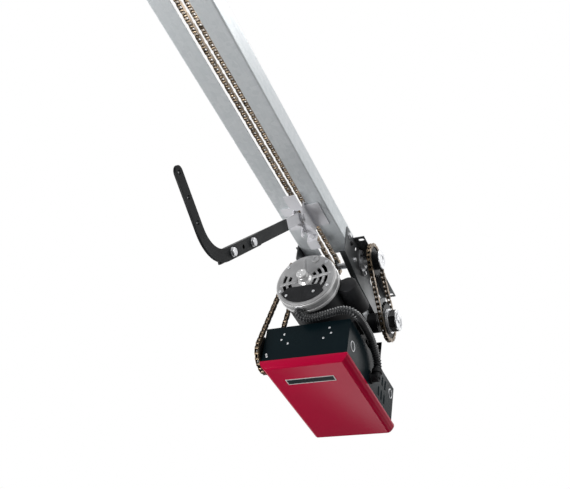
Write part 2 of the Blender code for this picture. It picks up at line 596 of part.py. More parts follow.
def motor():
    """Motor shell, end bell, rotor with its worm, cooling fan, drive flange and capacitor cover."""
    centre = (MOTOR_X, MOTOR_Z)
    at = (MOTOR_X, 0, MOTOR_Z)
    bell_back = BELL_FRONT + BELL_DEPTH
    wall = 4 * MM
    rim("motor_shell", "Y", centre, MOTOR_R - wall, MOTOR_R, bell_back + GAP, STATOR_BACK, CAST_BLACK, at, 40)

    shaft = WORM_SHAFT_R + GAP
    profile = [(shaft, BELL_FRONT), (BELL_R - 5 * MM, BELL_FRONT), (BELL_R - 1.5 * MM, BELL_FRONT + 1.5 * MM),
               (BELL_R, BELL_FRONT + 5 * MM), (BELL_R, bell_back), (BELL_R - wall, bell_back),
               (BELL_R - wall, BELL_FRONT + 7 * MM), (BELL_R - 7 * MM, BELL_FRONT + 4 * MM),
               (shaft, BELL_FRONT + 4 * MM)]
    item = turned("motor_end_bell", "Y", centre, profile, CAST_ALLOY, at, 40)
    for ring, (inner, outer) in enumerate(((22, 30), (36, 44), (50, 58))):
        for middle, spread in ((2, 42), (194, 34)):
            if ring == 0 and middle > 90:
                continue
            a = math.radians(middle - spread)
            b = math.radians(middle + spread)
            vent = (arc(MOTOR_X, MOTOR_Z, outer * MM, a, b, 5) + arc(MOTOR_X, MOTOR_Z, inner * MM, b, a, 4))
            cut(item, tool_prism("Y", BELL_FRONT - 3 * MM, BELL_FRONT + 10 * MM, vent))

    profile = [(0.0, HUB_FRONT), (CAP_HUB_R - 2 * MM, HUB_FRONT), (CAP_HUB_R, HUB_FRONT + 2 * MM),
               (CAP_HUB_R, BELL_FRONT - GAP), (shaft, BELL_FRONT - GAP), (shaft, HUB_FRONT + 6 * MM),
               (0.0, HUB_FRONT + 6 * MM)]
    turned("motor_hub_cap", "Y", centre, profile, CAST_ALLOY, at, 32)
    low, high = math.radians(212), math.radians(322)
    plate = (arc(MOTOR_X, MOTOR_Z, BELL_R - 8 * MM, low, high, 16)
             + [(MOTOR_X + 40 * MM, MOTOR_Z - 20 * MM), (MOTOR_X - 40 * MM, MOTOR_Z - 20 * MM)])
    prism("motor_wiring_plate", "Y", BELL_FRONT - 2.5 * MM, BELL_FRONT - GAP, plate, CAST_BLACK)

    front, back = GEARBOX_Y
    start = STATOR_BACK + GAP
    profile = [(MOTOR_R, start), (MOTOR_R, start + 14 * MM), (50 * MM, back_of_flange(front) - 6 * MM),
               (50 * MM, front - GAP), (shaft, front - GAP), (shaft, front - 5 * MM), (44 * MM, front - 5 * MM),
               (MOTOR_R - wall, start + 12 * MM), (MOTOR_R - wall, start)]
    turned("motor_drive_flange", "Y", centre, profile, CAST_BLACK, at, 40)

    stop = back - GEAR_WALL - 4 * MM
    worm_start = GEAR_Y - 26 * MM
    worm_stop = GEAR_Y + 26 * MM
    core = (122 * MM, 186 * MM)
    profile = [(0.0, HUB_FRONT + 8 * MM), (WORM_SHAFT_R, HUB_FRONT + 8 * MM), (WORM_SHAFT_R, core[0]),
               (ROTOR_R, core[0]), (ROTOR_R, core[1]), (WORM_SHAFT_R, core[1]), (WORM_SHAFT_R, worm_start),
               (WORM_R, worm_start + 2 * MM), (WORM_R, worm_stop - 2 * MM), (WORM_SHAFT_R, worm_stop),
               (WORM_SHAFT_R, stop), (0.0, stop)]
    turned("motor_rotor", "Y", centre, profile, ZINC, at, 20)
    blades = []
    for i in range(6):
        turn = math.radians(60 * i)
        blades += arc(MOTOR_X, MOTOR_Z, 55 * MM, turn, turn + 0.55, 4)
        blades += arc(MOTOR_X, MOTOR_Z, 22 * MM, turn + 0.62, turn + 0.98, 2)
    prism("cooling_fan", "Y", 196 * MM, 206 * MM, blades, BLACK_PLASTIC, at, [circle(*centre, shaft, 16)])

    can = (80 * MM, -137 * MM)
    outline = arc(*can, 22 * MM, math.radians(-122), math.radians(122), 16)
    seat = MOTOR_R + 1 * MM
    outline += arc(MOTOR_X, MOTOR_Z, seat, math.radians(11), math.radians(-15), 6)
    item = prism("capacitor_cover", "Y", 112 * MM, 204 * MM, outline, CAST_BLACK, smooth=40)
    round_edges(item, 2 * MM, 2, 60)


def back_of_flange(front):
    """Where the drive flange's cone ends in front of the gearbox."""
    return front - 8 * MM


def conduit():
    """Flexible conduit from the motor's rim to the side of the control box, with both connectors."""
    route = [Vector(p) * MM - HANGER for p in CONDUIT_ROUTE]
    points = smooth_route(route, 2)
    curve = bpy.data.curves.new("conduit", "CURVE")
    curve.dimensions = "3D"
    curve.bevel_depth = CONDUIT_R
    curve.bevel_resolution = 2
    curve.use_fill_caps = True
    line = curve.splines.new("POLY")
    line.points.add(len(points) - 1)
    for place, point in zip(line.points, points):
        place.co = (*point, 1.0)
    item = bpy.data.objects.new("conduit", curve)
    curve.materials.append(material(BLACK_PLASTIC))
    bpy.context.collection.objects.link(item)

    start = CONDUIT_ROUTE[0]
    floor = (start[2] + 1.5) * MM
    roof = MOTOR_Z - BELL_R - GAP
    rim("motor_conduit_connector", "Z", (start[0] * MM, start[1] * MM), 4 * MM, 11.5 * MM, floor, roof, ZINC)

    y, z = BOX_ENTRY
    end = CONDUIT_ROUTE[-1]
    wall = BOX_X[1] + GAP
    profile = [(0.0, wall), (13 * MM, wall), (13 * MM, wall + 4 * MM), (10 * MM, wall + 4 * MM),
               (10 * MM, wall + 20 * MM), (0.0, wall + 20 * MM)]
    item = turned("box_conduit_connector", "X", (y, z), profile, CAST_BLACK, None, 32)
    bm = bmesh.new()
    top = (end[2] - 1.2) * MM
    add_turned(bm, "Z", (end[0] * MM, y), [(0.0, z - 2 * MM), (9.5 * MM, z - 2 * MM), (9.5 * MM, top - 9 * MM),
                                           (12.5 * MM, top - 9 * MM), (12.5 * MM, top), (0.0, top)], 32)
    unite(item, bm, "elbow")


def smooth_route(points, steps):
    """Catmull-Rom curve through the route's points, with `steps` parts between each pair."""
    padded = [points[0] * 2 - points[1], *points, points[-1] * 2 - points[-2]]
    found = []
    for i in range(1, len(padded) - 2):
        a, b, c, d = padded[i - 1:i + 3]
        for k in range(steps):
            t = k / steps
            found.append(0.5 * (2 * b + (c - a) * t + (2 * a - 5 * b + 4 * c - d) * t ** 2
                                + (3 * b - a - 3 * c + d) * t ** 3))
    return found + [points[-1]]


def tray(rear, grow, lift, above):
    """The cover's body as a bmesh: rings that lean in towards its bottom, which is raised by `lift`."""
    bm = bmesh.new()
    rings = []
    for height, side, front in COVER_RINGS:
        z = COVER_BOTTOM + height + (above if height == COVER_RINGS[0][0] else lift * (1 - height / (30 * MM)))
        x_low, x_high = BOX_X[0] - grow + side, BOX_X[1] + grow - side
        corners = [(x_low, BOX_Y[0] - grow + front), (x_high, BOX_Y[0] - grow + front),
                   (x_high, rear), (x_low, rear)]
        rings.append([bm.verts.new((x, y, z)) for x, y in corners])
    for upper, lower in zip(rings, rings[1:]):
        for i in range(4):
            bm.faces.new((upper[i - 1], upper[i], lower[i], lower[i - 1]))
    bm.faces.new(rings[0])
    bm.faces.new(rings[-1])
    return bm


def control_box():
    """Steel box under the motor, its hinged cover and what it holds."""
    left, right = BOX_X
    front, back = BOX_Y
    open_edge = LIP_Z - 4.5 * MM
    item = block("control_box_shell", (left, right), (front, back), (open_edge, BOX_TOP), BLACK_STEEL)
    cut(item, tool_block((left + SHEET, right - SHEET), (front + SHEET, back - SHEET),
                         (open_edge - 5 * MM, BOX_TOP - SHEET)))
    hole = circle(LIMIT_Y, LIMIT_Z, LIMIT_SHAFT_R + 2 * MM)
    cut(item, tool_prism("X", left - 5 * MM, left + 5 * MM, hole))

    rear = back + COVER_OVERHANG
    at = (0, rear + 1.5 * MM, LIP_Z + 5 * MM)
    item = finish("control_box_cover", tray(rear, GAP + COVER_SHEET, 0.0, 0.0), at, RED_PAINT)
    cut(item, tray(rear - COVER_SHEET, GAP, COVER_SHEET, 5 * MM))

    pin_y, pin_z = at[1], at[2]
    eye = 4.5 * MM
    pin_hole = circle(pin_y, pin_z, HINGE_PIN_R + GAP, 16)
    curl = arc(pin_y, pin_z, eye, math.radians(-90), math.radians(150), 10)
    leaf = curl + [(back + 3.2 * MM, pin_z + 6 * MM), (back + 3.2 * MM, pin_z + 34 * MM),
                   (back + GAP, pin_z + 34 * MM), (back + GAP, pin_z + 3 * MM)]
    prism("cover_hinge_leaf", "X", -25 * MM, 25 * MM, leaf, BLACK_STEEL, holes=[pin_hole])
    for side in (-1, 1):
        span = sorted((side * (25 * MM + GAP), side * 45 * MM))
        foot = [(rear - COVER_SHEET / 2, pin_z - 6 * MM), (rear - COVER_SHEET / 2, pin_z - 14 * MM),
                (rear + 2 * MM, pin_z - 14 * MM)]
        ring = arc(pin_y, pin_z, eye, math.radians(-50), math.radians(215), 12)
        unite(item, tool_prism("X", *span, foot + ring, [pin_hole]), "knuckle")
    turned("cover_hinge_pin", "X", (pin_y, pin_z),
           [(0.0, -46 * MM), (HINGE_PIN_R, -46 * MM), (HINGE_PIN_R, 46 * MM), (0.0, 46 * MM)], ZINC, None, 16)

    under = BOX_TOP - SHEET
    block("circuit_board", (-20 * MM, 80 * MM), (200 * MM, 395 * MM), (under - 11 * MM, under - 9 * MM),
          BOARD_GREEN)
    block("transformer", (-95 * MM, -35 * MM), (330 * MM, 400 * MM), (under - 55 * MM, under - GAP),
          CAST_BLACK)
    block("motor_contactor", (-95 * MM, -40 * MM), (225 * MM, 300 * MM), (under - 48 * MM, under - GAP),
          BLACK_PLASTIC)
    block("limit_switch_bar", (-75 * MM, 45 * MM), (162 * MM, 178 * MM), (LIMIT_Z - 4 * MM, under - GAP),
          BLACK_PLASTIC)


def limit_gear():
    """Threaded limit shaft, its sprocket and chain, and the two nuts that trip the switches."""
    centre = (LIMIT_Y, LIMIT_Z)
    at = (0, LIMIT_Y, LIMIT_Z)
    low = LIMIT_CHAIN_X - 7 * MM
    high = BOX_X[1] - 30 * MM
    profile = [(0.0, low), (LIMIT_SHAFT_R, low), (LIMIT_SHAFT_R, high), (0.0, high)]
    turned("limit_shaft", "X", centre, profile, ZINC, at, 16)
    sprocket("limit_sprocket", centre, LIMIT_CHAIN_X, LIMIT_TEETH, LIMIT_SHAFT_R + GAP, BLACK_STEEL, at=at)
    half = LIMIT_NUT_SIZE / 2
    for name, x in zip(("limit_nut_close", "limit_nut_open"), LIMIT_NUT_X):
        outline = [(LIMIT_Y + a * half, LIMIT_Z + b * half) for a, b in ((-1, -1), (1, -1), (1, 1), (-1, 1))]
        prism(name, "X", x - 5 * MM, x + 5 * MM, outline, BRASS, (x, LIMIT_Y, LIMIT_Z),
              [circle(*centre, LIMIT_SHAFT_R + GAP)])
    chain_loop("limit_chain", LIMIT_CHAIN_X, (OUT_Y, OUT_Z, LIMIT_DRIVE_TEETH), (LIMIT_Y, LIMIT_Z, LIMIT_TEETH),
               CHAIN_STEEL)


def trolley():
    """Trolley that hangs on the rail's feet, its take-up bolt and release lever."""
    at = (0, PIVOT_Y, 0)
    sheet = TROLLEY_SHEET
    web = (WEB_X, WEB_X + sheet)
    top = TROLLEY_TOP + sheet
    tab = (TAB_TOP - sheet, TAB_TOP)
    item = block("trolley", (-17 * MM, web[1]), (-88 * MM, -40 * MM), tab, ZINC, at)
    step = 0.4 * MM                  # keeps joined faces out of one plane
    core = (tab[0] + step / 4, tab[1] - step / 4)
    unite(item, tool_block((step / 2 - web[1], web[1] - step / 2), (-42 * MM, 42 * MM), core), "core")
    ear = [(-41 * MM, top + step), (42 * MM + step, top + step), (42 * MM + step, tab[0] - step),
           (8 * MM, -26 * MM), (-12 * MM, -39 * MM), (-36 * MM, -39 * MM), (-43 * MM, -24 * MM),
           (-41 * MM, tab[0] - step)]
    seat = web[0] + sheet / 2
    pin = circle(PIVOT_Y, PIVOT_Z, PIN_R + GAP)
    for side in (-1, 1):
        span = sorted((side * web[0], side * web[1]))
        unite(item, tool_prism("X", *span, ear, [pin]), "web")
        reach = sorted((side * seat, side * 46 * MM))
        unite(item, tool_block(reach, (-38 * MM, 41 * MM), (TROLLEY_TOP, top)), "guide")
    wing = (-0.5 * MM - sheet, -0.5 * MM)
    unite(item, tool_block((seat, 47 * MM), (-36 * MM, 39 * MM), wing), "wing_right")
    unite(item, tool_block((-50 * MM, -seat), (-35 * MM, -10 * MM), wing), "wing_left")
    unite(item, tool_block((-54 * MM, -seat), (14 * MM, 40 * MM), wing), "wing_rear")
    high, low = tab[1] - step / 2, tab[0] + step / 2
    tail = [(40 * MM, high), (TAIL_Y + sheet, high), (TAIL_Y + sheet, TAIL_Z), (81 * MM, TAIL_Z),
            (81 * MM, TAIL_Z - sheet), (TAIL_Y, TAIL_Z - sheet), (TAIL_Y, low), (40 * MM, low)]
    unite(item, tool_prism("X", -13 * MM, 13 * MM, tail), "tail")
    mouth = (step - web[0], web[0] - step)
    cut(item, tool_block(mouth, (-38 * MM, 10 * MM), (tab[0] - 2 * MM, tab[1] + 2 * MM)))
    bolt_z = -27 * MM
    cut(item, tool_prism("Y", TAIL_Y - 2 * MM, TAIL_Y + sheet + 2 * MM, circle(0.0, bolt_z, 4.3 * MM)))

    front, rear = TAIL_Y - GAP, TAIL_Y + sheet + GAP
    profile = [(0.0, front - 5 * MM), (6.5 * MM, front - 5 * MM), (6.5 * MM, front), (4 * MM, front),
               (4 * MM, rear), (8 * MM, rear), (8 * MM, rear + 7 * MM), (4 * MM, rear + 7 * MM),
               (4 * MM, rear + 17 * MM), (0.0, rear + 17 * MM)]
    turned("take_up_bolt", "Y", (0.0, bolt_z), profile, ZINC, at, 16)

    span = (-web[1] - GAP - 3 * MM, -web[1] - GAP)
    lever = (26 * MM, -13 * MM)
    tip = (26 * MM, -38 * MM)
    way = math.atan2(tip[1] - lever[1], tip[0] - lever[0])
    outline = (arc(*lever, 7 * MM, way + math.pi / 2, way + math.pi * 1.5, 8)
               + arc(*tip, 6 * MM, way - math.pi / 2, way + math.pi / 2, 8))
    prism("release_lever", "X", *span, outline, ZINC, (span[0], *lever), [circle(*tip, 3 * MM, 12)])

    reach = web[1] + GAP
    profile = [(0.0, -reach - 4 * MM), (8 * MM, -reach - 4 * MM), (8 * MM, -reach), (PIN_R, -reach),
               (PIN_R, reach), (8 * MM, reach), (8 * MM, reach + 4 * MM), (0.0, reach + 4 * MM)]
    turned("arm_pivot_pin", "X", (PIVOT_Y, PIVOT_Z), profile, ZINC, (0, PIVOT_Y, PIVOT_Z), 16)


def door_arm():
    """Silver link on the trolley's pin, straight arm, curved arm and their two bolts."""
    at = (0, PIVOT_Y, PIVOT_Z)
    link = bar_outline(-12 * MM, 128 * MM, 24 * MM, True, False)
    hole = circle(PIVOT_Y, PIVOT_Z, PIN_R + GAP)
    prism("arm_link", "X", *LINK_X, link, ZINC, at, [hole])
    low = LINK_X[1] + GAP
    high = low + ARM_SHEET
    bolts = [circle(*arm_point(run), BOLT_R + GAP, 12) for run in ARM_BOLTS]
    outline = bar_outline(*STRAIGHT_RUN, ARM_WIDTH)
    prism("straight_arm", "X", low, high, outline, BLACK_STEEL, at, bolts)

    near = high + GAP
    far = near + ARM_SHEET
    half = ARM_WIDTH / 2
    steps = 12
    path = [(CURVED_START, 0.0, 0.0)]
    for i in range(steps + 1):
        turn = CURVED_TURN * i / steps
        path.append((CURVED_TANGENT + CURVED_RADIUS * math.sin(turn),
                     CURVED_RADIUS * (1 - math.cos(turn)), turn))
    last = path[-1]
    path.append((last[0] + CURVED_LEG * math.cos(last[2]), last[1] + CURVED_LEG * math.sin(last[2]), last[2]))
    outer = [(u + half * math.sin(t), v - half * math.cos(t)) for u, v, t in path]
    inner = [(u - half * math.sin(t), v + half * math.cos(t)) for u, v, t in path]
    tip_u, tip_v, tip_turn = path[-1]
    nose = arc(tip_u, tip_v, half, tip_turn - math.pi / 2, tip_turn + math.pi / 2, 10)[1:-1]
    outline = [arm_point(u, v) for u, v in outer + nose + inner[::-1]]
    leg_holes = []
    for back in (0, 48, 97):
        u = tip_u - back * MM * math.cos(tip_turn)
        v = tip_v - back * MM * math.sin(tip_turn)
        leg_holes.append(circle(*arm_point(u, v), 4.5 * MM, 12))
    middle = circle(*arm_point(sum(ARM_BOLTS) / 2 - 3 * MM), 4.5 * MM, 16)
    prism("curved_arm", "X", near, far, outline, BLACK_STEEL, at, bolts + [middle] + leg_holes)

    for name, run in zip(("arm_bolt_upper", "arm_bolt_lower"), ARM_BOLTS):
        shank = low - GAP
        profile = [(0.0, shank - 8 * MM), (9 * MM, shank - 8 * MM), (9 * MM, shank), (BOLT_R, shank),
                   (BOLT_R, far + GAP), (9.5 * MM, far + GAP), (9.5 * MM, far + 6.5 * MM), (0.0, far + 6.5 * MM)]
        turned(name, "X", arm_point(run), profile, ZINC, at, 16)


def main():
    """Clear the scene and build every sub-part."""
    for item in list(bpy.data.objects):
        bpy.data.objects.remove(item)
    rail()
    frame()
    output_shaft()
    gearbox()
    motor()
    conduit()
    control_box()
    limit_gear()
    trolley()
    door_arm()


main()
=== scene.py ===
"""Looks for the trolley door opener: rail, chains, trolley, door arm and power head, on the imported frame.

Measures are written in millimetres across the rail (x), along it (y) and up (z), counted from the
underside of the rail's flanges, and spot() turns them into the frame's metres.
"""
import json
import math

import bmesh
import bpy
import numpy as np
from mathutils import Matrix, Vector


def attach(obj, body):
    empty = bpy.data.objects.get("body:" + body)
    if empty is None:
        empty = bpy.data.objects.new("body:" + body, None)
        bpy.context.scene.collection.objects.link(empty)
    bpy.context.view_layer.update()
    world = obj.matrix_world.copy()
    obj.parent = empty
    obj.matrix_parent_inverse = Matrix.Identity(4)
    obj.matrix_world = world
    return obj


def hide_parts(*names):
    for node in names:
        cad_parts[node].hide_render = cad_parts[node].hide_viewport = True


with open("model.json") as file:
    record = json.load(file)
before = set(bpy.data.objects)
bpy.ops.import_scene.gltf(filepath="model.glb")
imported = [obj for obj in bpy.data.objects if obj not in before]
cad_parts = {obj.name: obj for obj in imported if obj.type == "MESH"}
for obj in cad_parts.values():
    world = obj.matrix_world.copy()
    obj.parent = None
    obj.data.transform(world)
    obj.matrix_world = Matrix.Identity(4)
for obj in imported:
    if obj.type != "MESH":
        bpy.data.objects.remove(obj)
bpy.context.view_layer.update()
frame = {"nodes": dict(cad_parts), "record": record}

HANGER = np.array((79.2, 270.0, 38.4))
HEAD = "opener_head"
CHAIN_PITCH = 12.7
FLAT_WITHIN = math.radians(0.4)         # faces this close to one plane are merged
CREASE = math.radians(32)               # edges sharper than this stay sharp
FLOOR_SIDE, FLOOR_Z = 6.0, -1.75        # metres; every light hangs above it
CAMERA_PLACE = (0.657886, -1.558051, -1.355203)
CAMERA_RIGHT = (0.903359, 0.401865, 0.149822)
CAMERA_BACK = (0.399638, -0.661940, -0.634133)
BODY_OF = {node: body for body, nodes in frame["record"]["behaviour"]["bodies"].items() for node in nodes}


def spot(points):
    """Metres in the frame from millimetres along the rail: subtract the hanger's place and divide by 1000."""
    return (np.asarray(points, float) - HANGER) / 1000.0


# ------------------------------------------------------------------ node groups shared by the finishes

def new_group(name, inputs, outputs):
    """An empty shader group with float or vector sockets, and its two end nodes."""
    tree = bpy.data.node_groups.new(name, "ShaderNodeTree")
    for label, kind, value in inputs:
        item = tree.interface.new_socket(name=label, in_out="INPUT", socket_type=kind)
        if kind == "NodeSocketFloat":
            item.default_value = value
    for label, kind in outputs:
        tree.interface.new_socket(name=label, in_out="OUTPUT", socket_type=kind)
    return tree, tree.nodes.new("NodeGroupInput"), tree.nodes.new("NodeGroupOutput")


def noise(tree, vector, scale, detail=4.0, roughness=0.55):
    """A noise texture node fed by a vector and a scale, which is a number or a socket."""
    node = tree.nodes.new("ShaderNodeTexNoise")
    node.inputs["Detail"].default_value = detail
    node.inputs["Roughness"].default_value = roughness
    tree.links.new(vector, node.inputs["Vector"])
    if isinstance(scale, (int, float)):
        node.inputs["Scale"].default_value = scale
    else:
        tree.links.new(scale, node.inputs["Scale"])
    return node


def maths(tree, operation, first, second):
    """A Math node; each side is a socket or a number."""
    node = tree.nodes.new("ShaderNodeMath")
    node.operation = operation
    for slot, value in zip(node.inputs, (first, second)):
        if isinstance(value, (int, float)):
            slot.default_value = value
        else:
            tree.links.new(value, slot)
    return node.outputs[0]


def ramp(tree, value, low, high, out_low=0.0, out_high=1.0):
    """A clamped straight-line map from one range to another."""
    node = tree.nodes.new("ShaderNodeMapRange")
    tree.links.new(value, node.inputs["Value"])
    for label, number in (("From Min", low), ("From Max", high), ("To Min", out_low), ("To Max", out_high)):
        if isinstance(number, (int, float)):
            node.inputs[label].default_value = number
        else:
            tree.links.new(number, node.inputs[label])
    return node.outputs["Result"]


def make_mottle():
    """Slow tone changes from broad noise, settled dust from broken noise, and a fine grain height."""
    tree, start, end = new_group(
        "mottle",
        [("Vector", "NodeSocketVector", None), ("Patch Scale", "NodeSocketFloat", 14.0),
         ("Grain Scale", "NodeSocketFloat", 900.0), ("Dust Cover", "NodeSocketFloat", 0.5)],
        [("Tone", "NodeSocketFloat"), ("Dust", "NodeSocketFloat"), ("Height", "NodeSocketFloat")])
    vector = start.outputs["Vector"]
    broad = noise(tree, vector, start.outputs["Patch Scale"], 5.0)
    tree.links.new(ramp(tree, broad.outputs["Fac"], 0.32, 0.68), end.inputs["Tone"])
    speck = noise(tree, vector, maths(tree, "MULTIPLY", start.outputs["Patch Scale"], 9.0), 6.0, 0.7)
    edge = maths(tree, "SUBTRACT", 0.78, maths(tree, "MULTIPLY", start.outputs["Dust Cover"], 0.4))
    dust = ramp(tree, speck.outputs["Fac"], edge, maths(tree, "ADD", edge, 0.25))
    tree.links.new(maths(tree, "MULTIPLY", dust, broad.outputs["Fac"]), end.inputs["Dust"])
    grain = noise(tree, vector, start.outputs["Grain Scale"], 3.0)
    tree.links.new(grain.outputs["Fac"], end.inputs["Height"])
    return tree


def make_spangle():
    """Zinc crystals: each cell of a warped cell pattern takes a random tone, with faint streaks along Y."""
    tree, start, end = new_group(
        "spangle",
        [("Vector", "NodeSocketVector", None), ("Cell Scale", "NodeSocketFloat", 85.0)],
        [("Tone", "NodeSocketFloat"), ("Streak", "NodeSocketFloat")])
    vector = start.outputs["Vector"]
    warp = noise(tree, vector, 40.0, 2.0)
    shift = tree.nodes.new("ShaderNodeVectorMath")
    shift.operation = "MULTIPLY_ADD"
    shift.inputs[1].default_value = (0.012, 0.012, 0.012)
    tree.links.new(warp.outputs["Color"], shift.inputs[0])
    tree.links.new(vector, shift.inputs[2])
    cells = tree.nodes.new("ShaderNodeTexVoronoi")
    tree.links.new(shift.outputs[0], cells.inputs["Vector"])
    tree.links.new(start.outputs["Cell Scale"], cells.inputs["Scale"])
    grey = tree.nodes.new("ShaderNodeRGBToBW")
    tree.links.new(cells.outputs["Color"], grey.inputs[0])
    tree.links.new(grey.outputs[0], end.inputs["Tone"])
    stretch = tree.nodes.new("ShaderNodeVectorMath")
    stretch.operation = "MULTIPLY"
    stretch.inputs[1].default_value = (1.0, 0.03, 1.0)
    tree.links.new(vector, stretch.inputs[0])
    streak = noise(tree, stretch.outputs[0], 160.0, 4.0)
    tree.links.new(ramp(tree, streak.outputs["Fac"], 0.3, 0.7), end.inputs["Streak"])
    return tree


MOTTLE = make_mottle()
SPANGLE = make_spangle()


def mixed(tree, factor, first, second):
    """Goes from the first number to the second as the factor goes from 0 to 1."""
    share = maths(tree, "MULTIPLY", second, factor)
    rest = ramp(tree, factor, 0.0, 1.0, first, 0.0)
    return maths(tree, "ADD", share, rest)


def blend_colour(tree, factor, first, second):
    """A colour mix; each side is a socket or an RGB triple, the factor a socket."""
    node = tree.nodes.new("ShaderNodeMix")
    node.data_type = "RGBA"
    tree.links.new(factor, node.inputs[0])
    for slot, value in ((node.inputs[6], first), (node.inputs[7], second)):
        if isinstance(value, tuple):
            slot.default_value = (*value, 1.0)
        else:
            tree.links.new(value, slot)
    return node.outputs[2]


def make_finish(name, low, high, metallic, rough, patch=14.0, grain=900.0, depth=0.15, dust=0.3,
                dust_colour=(0.42, 0.40, 0.37), coat=0.0, specular=0.5, spangle=0.0):
    """A finish between two tones, with settled dust, a rough and a smooth value, and a fine grain bump."""
    made = bpy.data.materials.new(name)
    made.use_nodes = True
    tree = made.node_tree
    shader = tree.nodes["Principled BSDF"]
    shader.inputs["Metallic"].default_value = metallic
    shader.inputs["Specular IOR Level"].default_value = specular
    shader.inputs["Coat Weight"].default_value = coat
    shader.inputs["Coat Roughness"].default_value = 0.06
    place = tree.nodes.new("ShaderNodeTexCoord")
    effect = tree.nodes.new("ShaderNodeGroup")
    effect.node_tree = MOTTLE
    effect.inputs["Patch Scale"].default_value = patch
    effect.inputs["Grain Scale"].default_value = grain
    effect.inputs["Dust Cover"].default_value = dust
    tree.links.new(place.outputs["Object"], effect.inputs["Vector"])
    tone = effect.outputs["Tone"]
    if spangle:
        crystal = tree.nodes.new("ShaderNodeGroup")
        crystal.node_tree = SPANGLE
        crystal.inputs["Cell Scale"].default_value = 95.0
        tree.links.new(place.outputs["Object"], crystal.inputs["Vector"])
        part = maths(tree, "MULTIPLY", crystal.outputs["Tone"], spangle)
        drawn = maths(tree, "MULTIPLY", crystal.outputs["Streak"], 0.25)
        rest = maths(tree, "MULTIPLY", tone, 1.0 - spangle)
        tone = maths(tree, "ADD", maths(tree, "ADD", part, rest), maths(tree, "SUBTRACT", drawn, 0.12))
    colour = blend_colour(tree, tone, low, high)
    amount = maths(tree, "MULTIPLY", effect.outputs["Dust"], dust)
    tree.links.new(blend_colour(tree, amount, colour, dust_colour), shader.inputs["Base Color"])
    base = ramp(tree, tone, 0.0, 1.0, rough[1], rough[0])
    tree.links.new(maths(tree, "ADD", base, maths(tree, "MULTIPLY", amount, 0.3)), shader.inputs["Roughness"])
    if depth:
        bump = tree.nodes.new("ShaderNodeBump")
        bump.inputs["Strength"].default_value = depth
        bump.inputs["Distance"].default_value = 0.0004
        tree.links.new(effect.outputs["Height"], bump.inputs["Height"])
        tree.links.new(bump.outputs["Normal"], shader.inputs["Normal"])
    return made


GALVANISED = make_finish("galvanised sheet", (0.60, 0.64, 0.66), (0.76, 0.79, 0.81), 0.45, (0.34, 0.52),
                         patch=6.0, depth=0.08, dust=0.25, spangle=0.55)
ZINC = make_finish("bright zinc", (0.66, 0.67, 0.69), (0.86, 0.87, 0.89), 0.65, (0.24, 0.4), patch=30.0,
                   grain=1400.0, depth=0.1, dust=0.25)
PLATED = make_finish("plated sheet", (0.66, 0.66, 0.69), (0.78, 0.78, 0.81), 0.1, (0.40, 0.52), patch=9.0,
                     grain=1500.0, depth=0.03, dust=0.12, dust_colour=(0.30, 0.30, 0.30), specular=0.3)
BLACK_STEEL = make_finish("black powder coat", (0.005, 0.006, 0.007), (0.012, 0.014, 0.015), 0.0, (0.30, 0.46),
                          patch=11.0, grain=1500.0, depth=0.18, dust=0.04, dust_colour=(0.12, 0.12, 0.11),
                          specular=0.10)
# Frame plate finish: its grey base colour is partly the sheet's own dark tone and partly a painted sheen
# standing in for light reflected off the black plate.
FRAME_SHEET_AND_SHEEN = make_finish("dark frame sheet with painted sheen", (0.085, 0.090, 0.094), (0.15, 0.157, 0.162), 0.55, (0.30, 0.44),
                          patch=9.0, grain=1500.0, depth=0.12, dust=0.15, dust_colour=(0.20, 0.20, 0.19))
BOX_BLACK = make_finish("box enamel", (0.002, 0.007, 0.010), (0.004, 0.011, 0.014), 0.0, (0.24, 0.36),
                        patch=7.0, grain=1100.0, depth=0.12, dust=0.03, dust_colour=(0.08, 0.10, 0.10),
                        specular=0.08)
CAST_BLACK = make_finish("black cast housing", (0.008, 0.008, 0.009), (0.020, 0.021, 0.023), 0.0, (0.42, 0.62),
                         patch=18.0, grain=620.0, depth=0.55, dust=0.08, dust_colour=(0.12, 0.12, 0.11),
                         specular=0.2)
CHAIN_STEEL = make_finish("oiled chain", (0.055, 0.040, 0.026), (0.32, 0.245, 0.17), 0.85, (0.24, 0.42),
                          patch=60.0, grain=1500.0, depth=0.1, dust=0.3, dust_colour=(0.05, 0.04, 0.03))
CAST_ALLOY = make_finish("cast alloy", (0.30, 0.30, 0.305), (0.50, 0.50, 0.505), 0.5, (0.34, 0.5),
                         patch=16.0, grain=520.0, depth=0.5, dust=0.35, dust_colour=(0.24, 0.23, 0.22))
CAP_ALLOY = make_finish("turned alloy", (0.62, 0.62, 0.62), (0.80, 0.80, 0.80), 0.5, (0.26, 0.4),
                        patch=20.0, grain=900.0, depth=0.2, dust=0.15, dust_colour=(0.3, 0.3, 0.3))
RED_ENAMEL = make_finish("crimson enamel", (0.42, 0.0010, 0.034), (0.48, 0.0018, 0.040), 0.0, (0.17, 0.22),
                         patch=4.0, grain=260.0, depth=0.035, dust=0.02, dust_colour=(0.4, 0.02, 0.05),
                         coat=0.0, specular=0.12)
# Conduit finish: black plastic whose base colour is lifted a little, partly its own tone and partly a painted
# highlight standing in for the shine on its ribs.
CONDUIT_BLACK_AND_HIGHLIGHT = make_finish("black conduit with painted highlight", (0.014, 0.015, 0.017), (0.034, 0.036, 0.038), 0.0, (0.2, 0.32),
                            patch=22.0, grain=1200.0, depth=0.08, dust=0.2, dust_colour=(0.18, 0.17, 0.16))
BLACK_PLASTIC = make_finish("black moulding", (0.010, 0.010, 0.012), (0.026, 0.026, 0.028), 0.0, (0.38, 0.5),
                            patch=20.0, grain=1000.0, depth=0.2, dust=0.3)
BOARD_GREEN = make_finish("board lacquer", (0.006, 0.055, 0.022), (0.012, 0.085, 0.036), 0.0, (0.2, 0.35),
                          patch=40.0, grain=900.0, depth=0.1, dust=0.2, coat=0.4)
BRASS = make_finish("turned brass", (0.45, 0.30, 0.10), (0.62, 0.45, 0.17), 1.0, (0.2, 0.36), patch=50.0,
                    grain=1400.0, depth=0.12, dust=0.2)
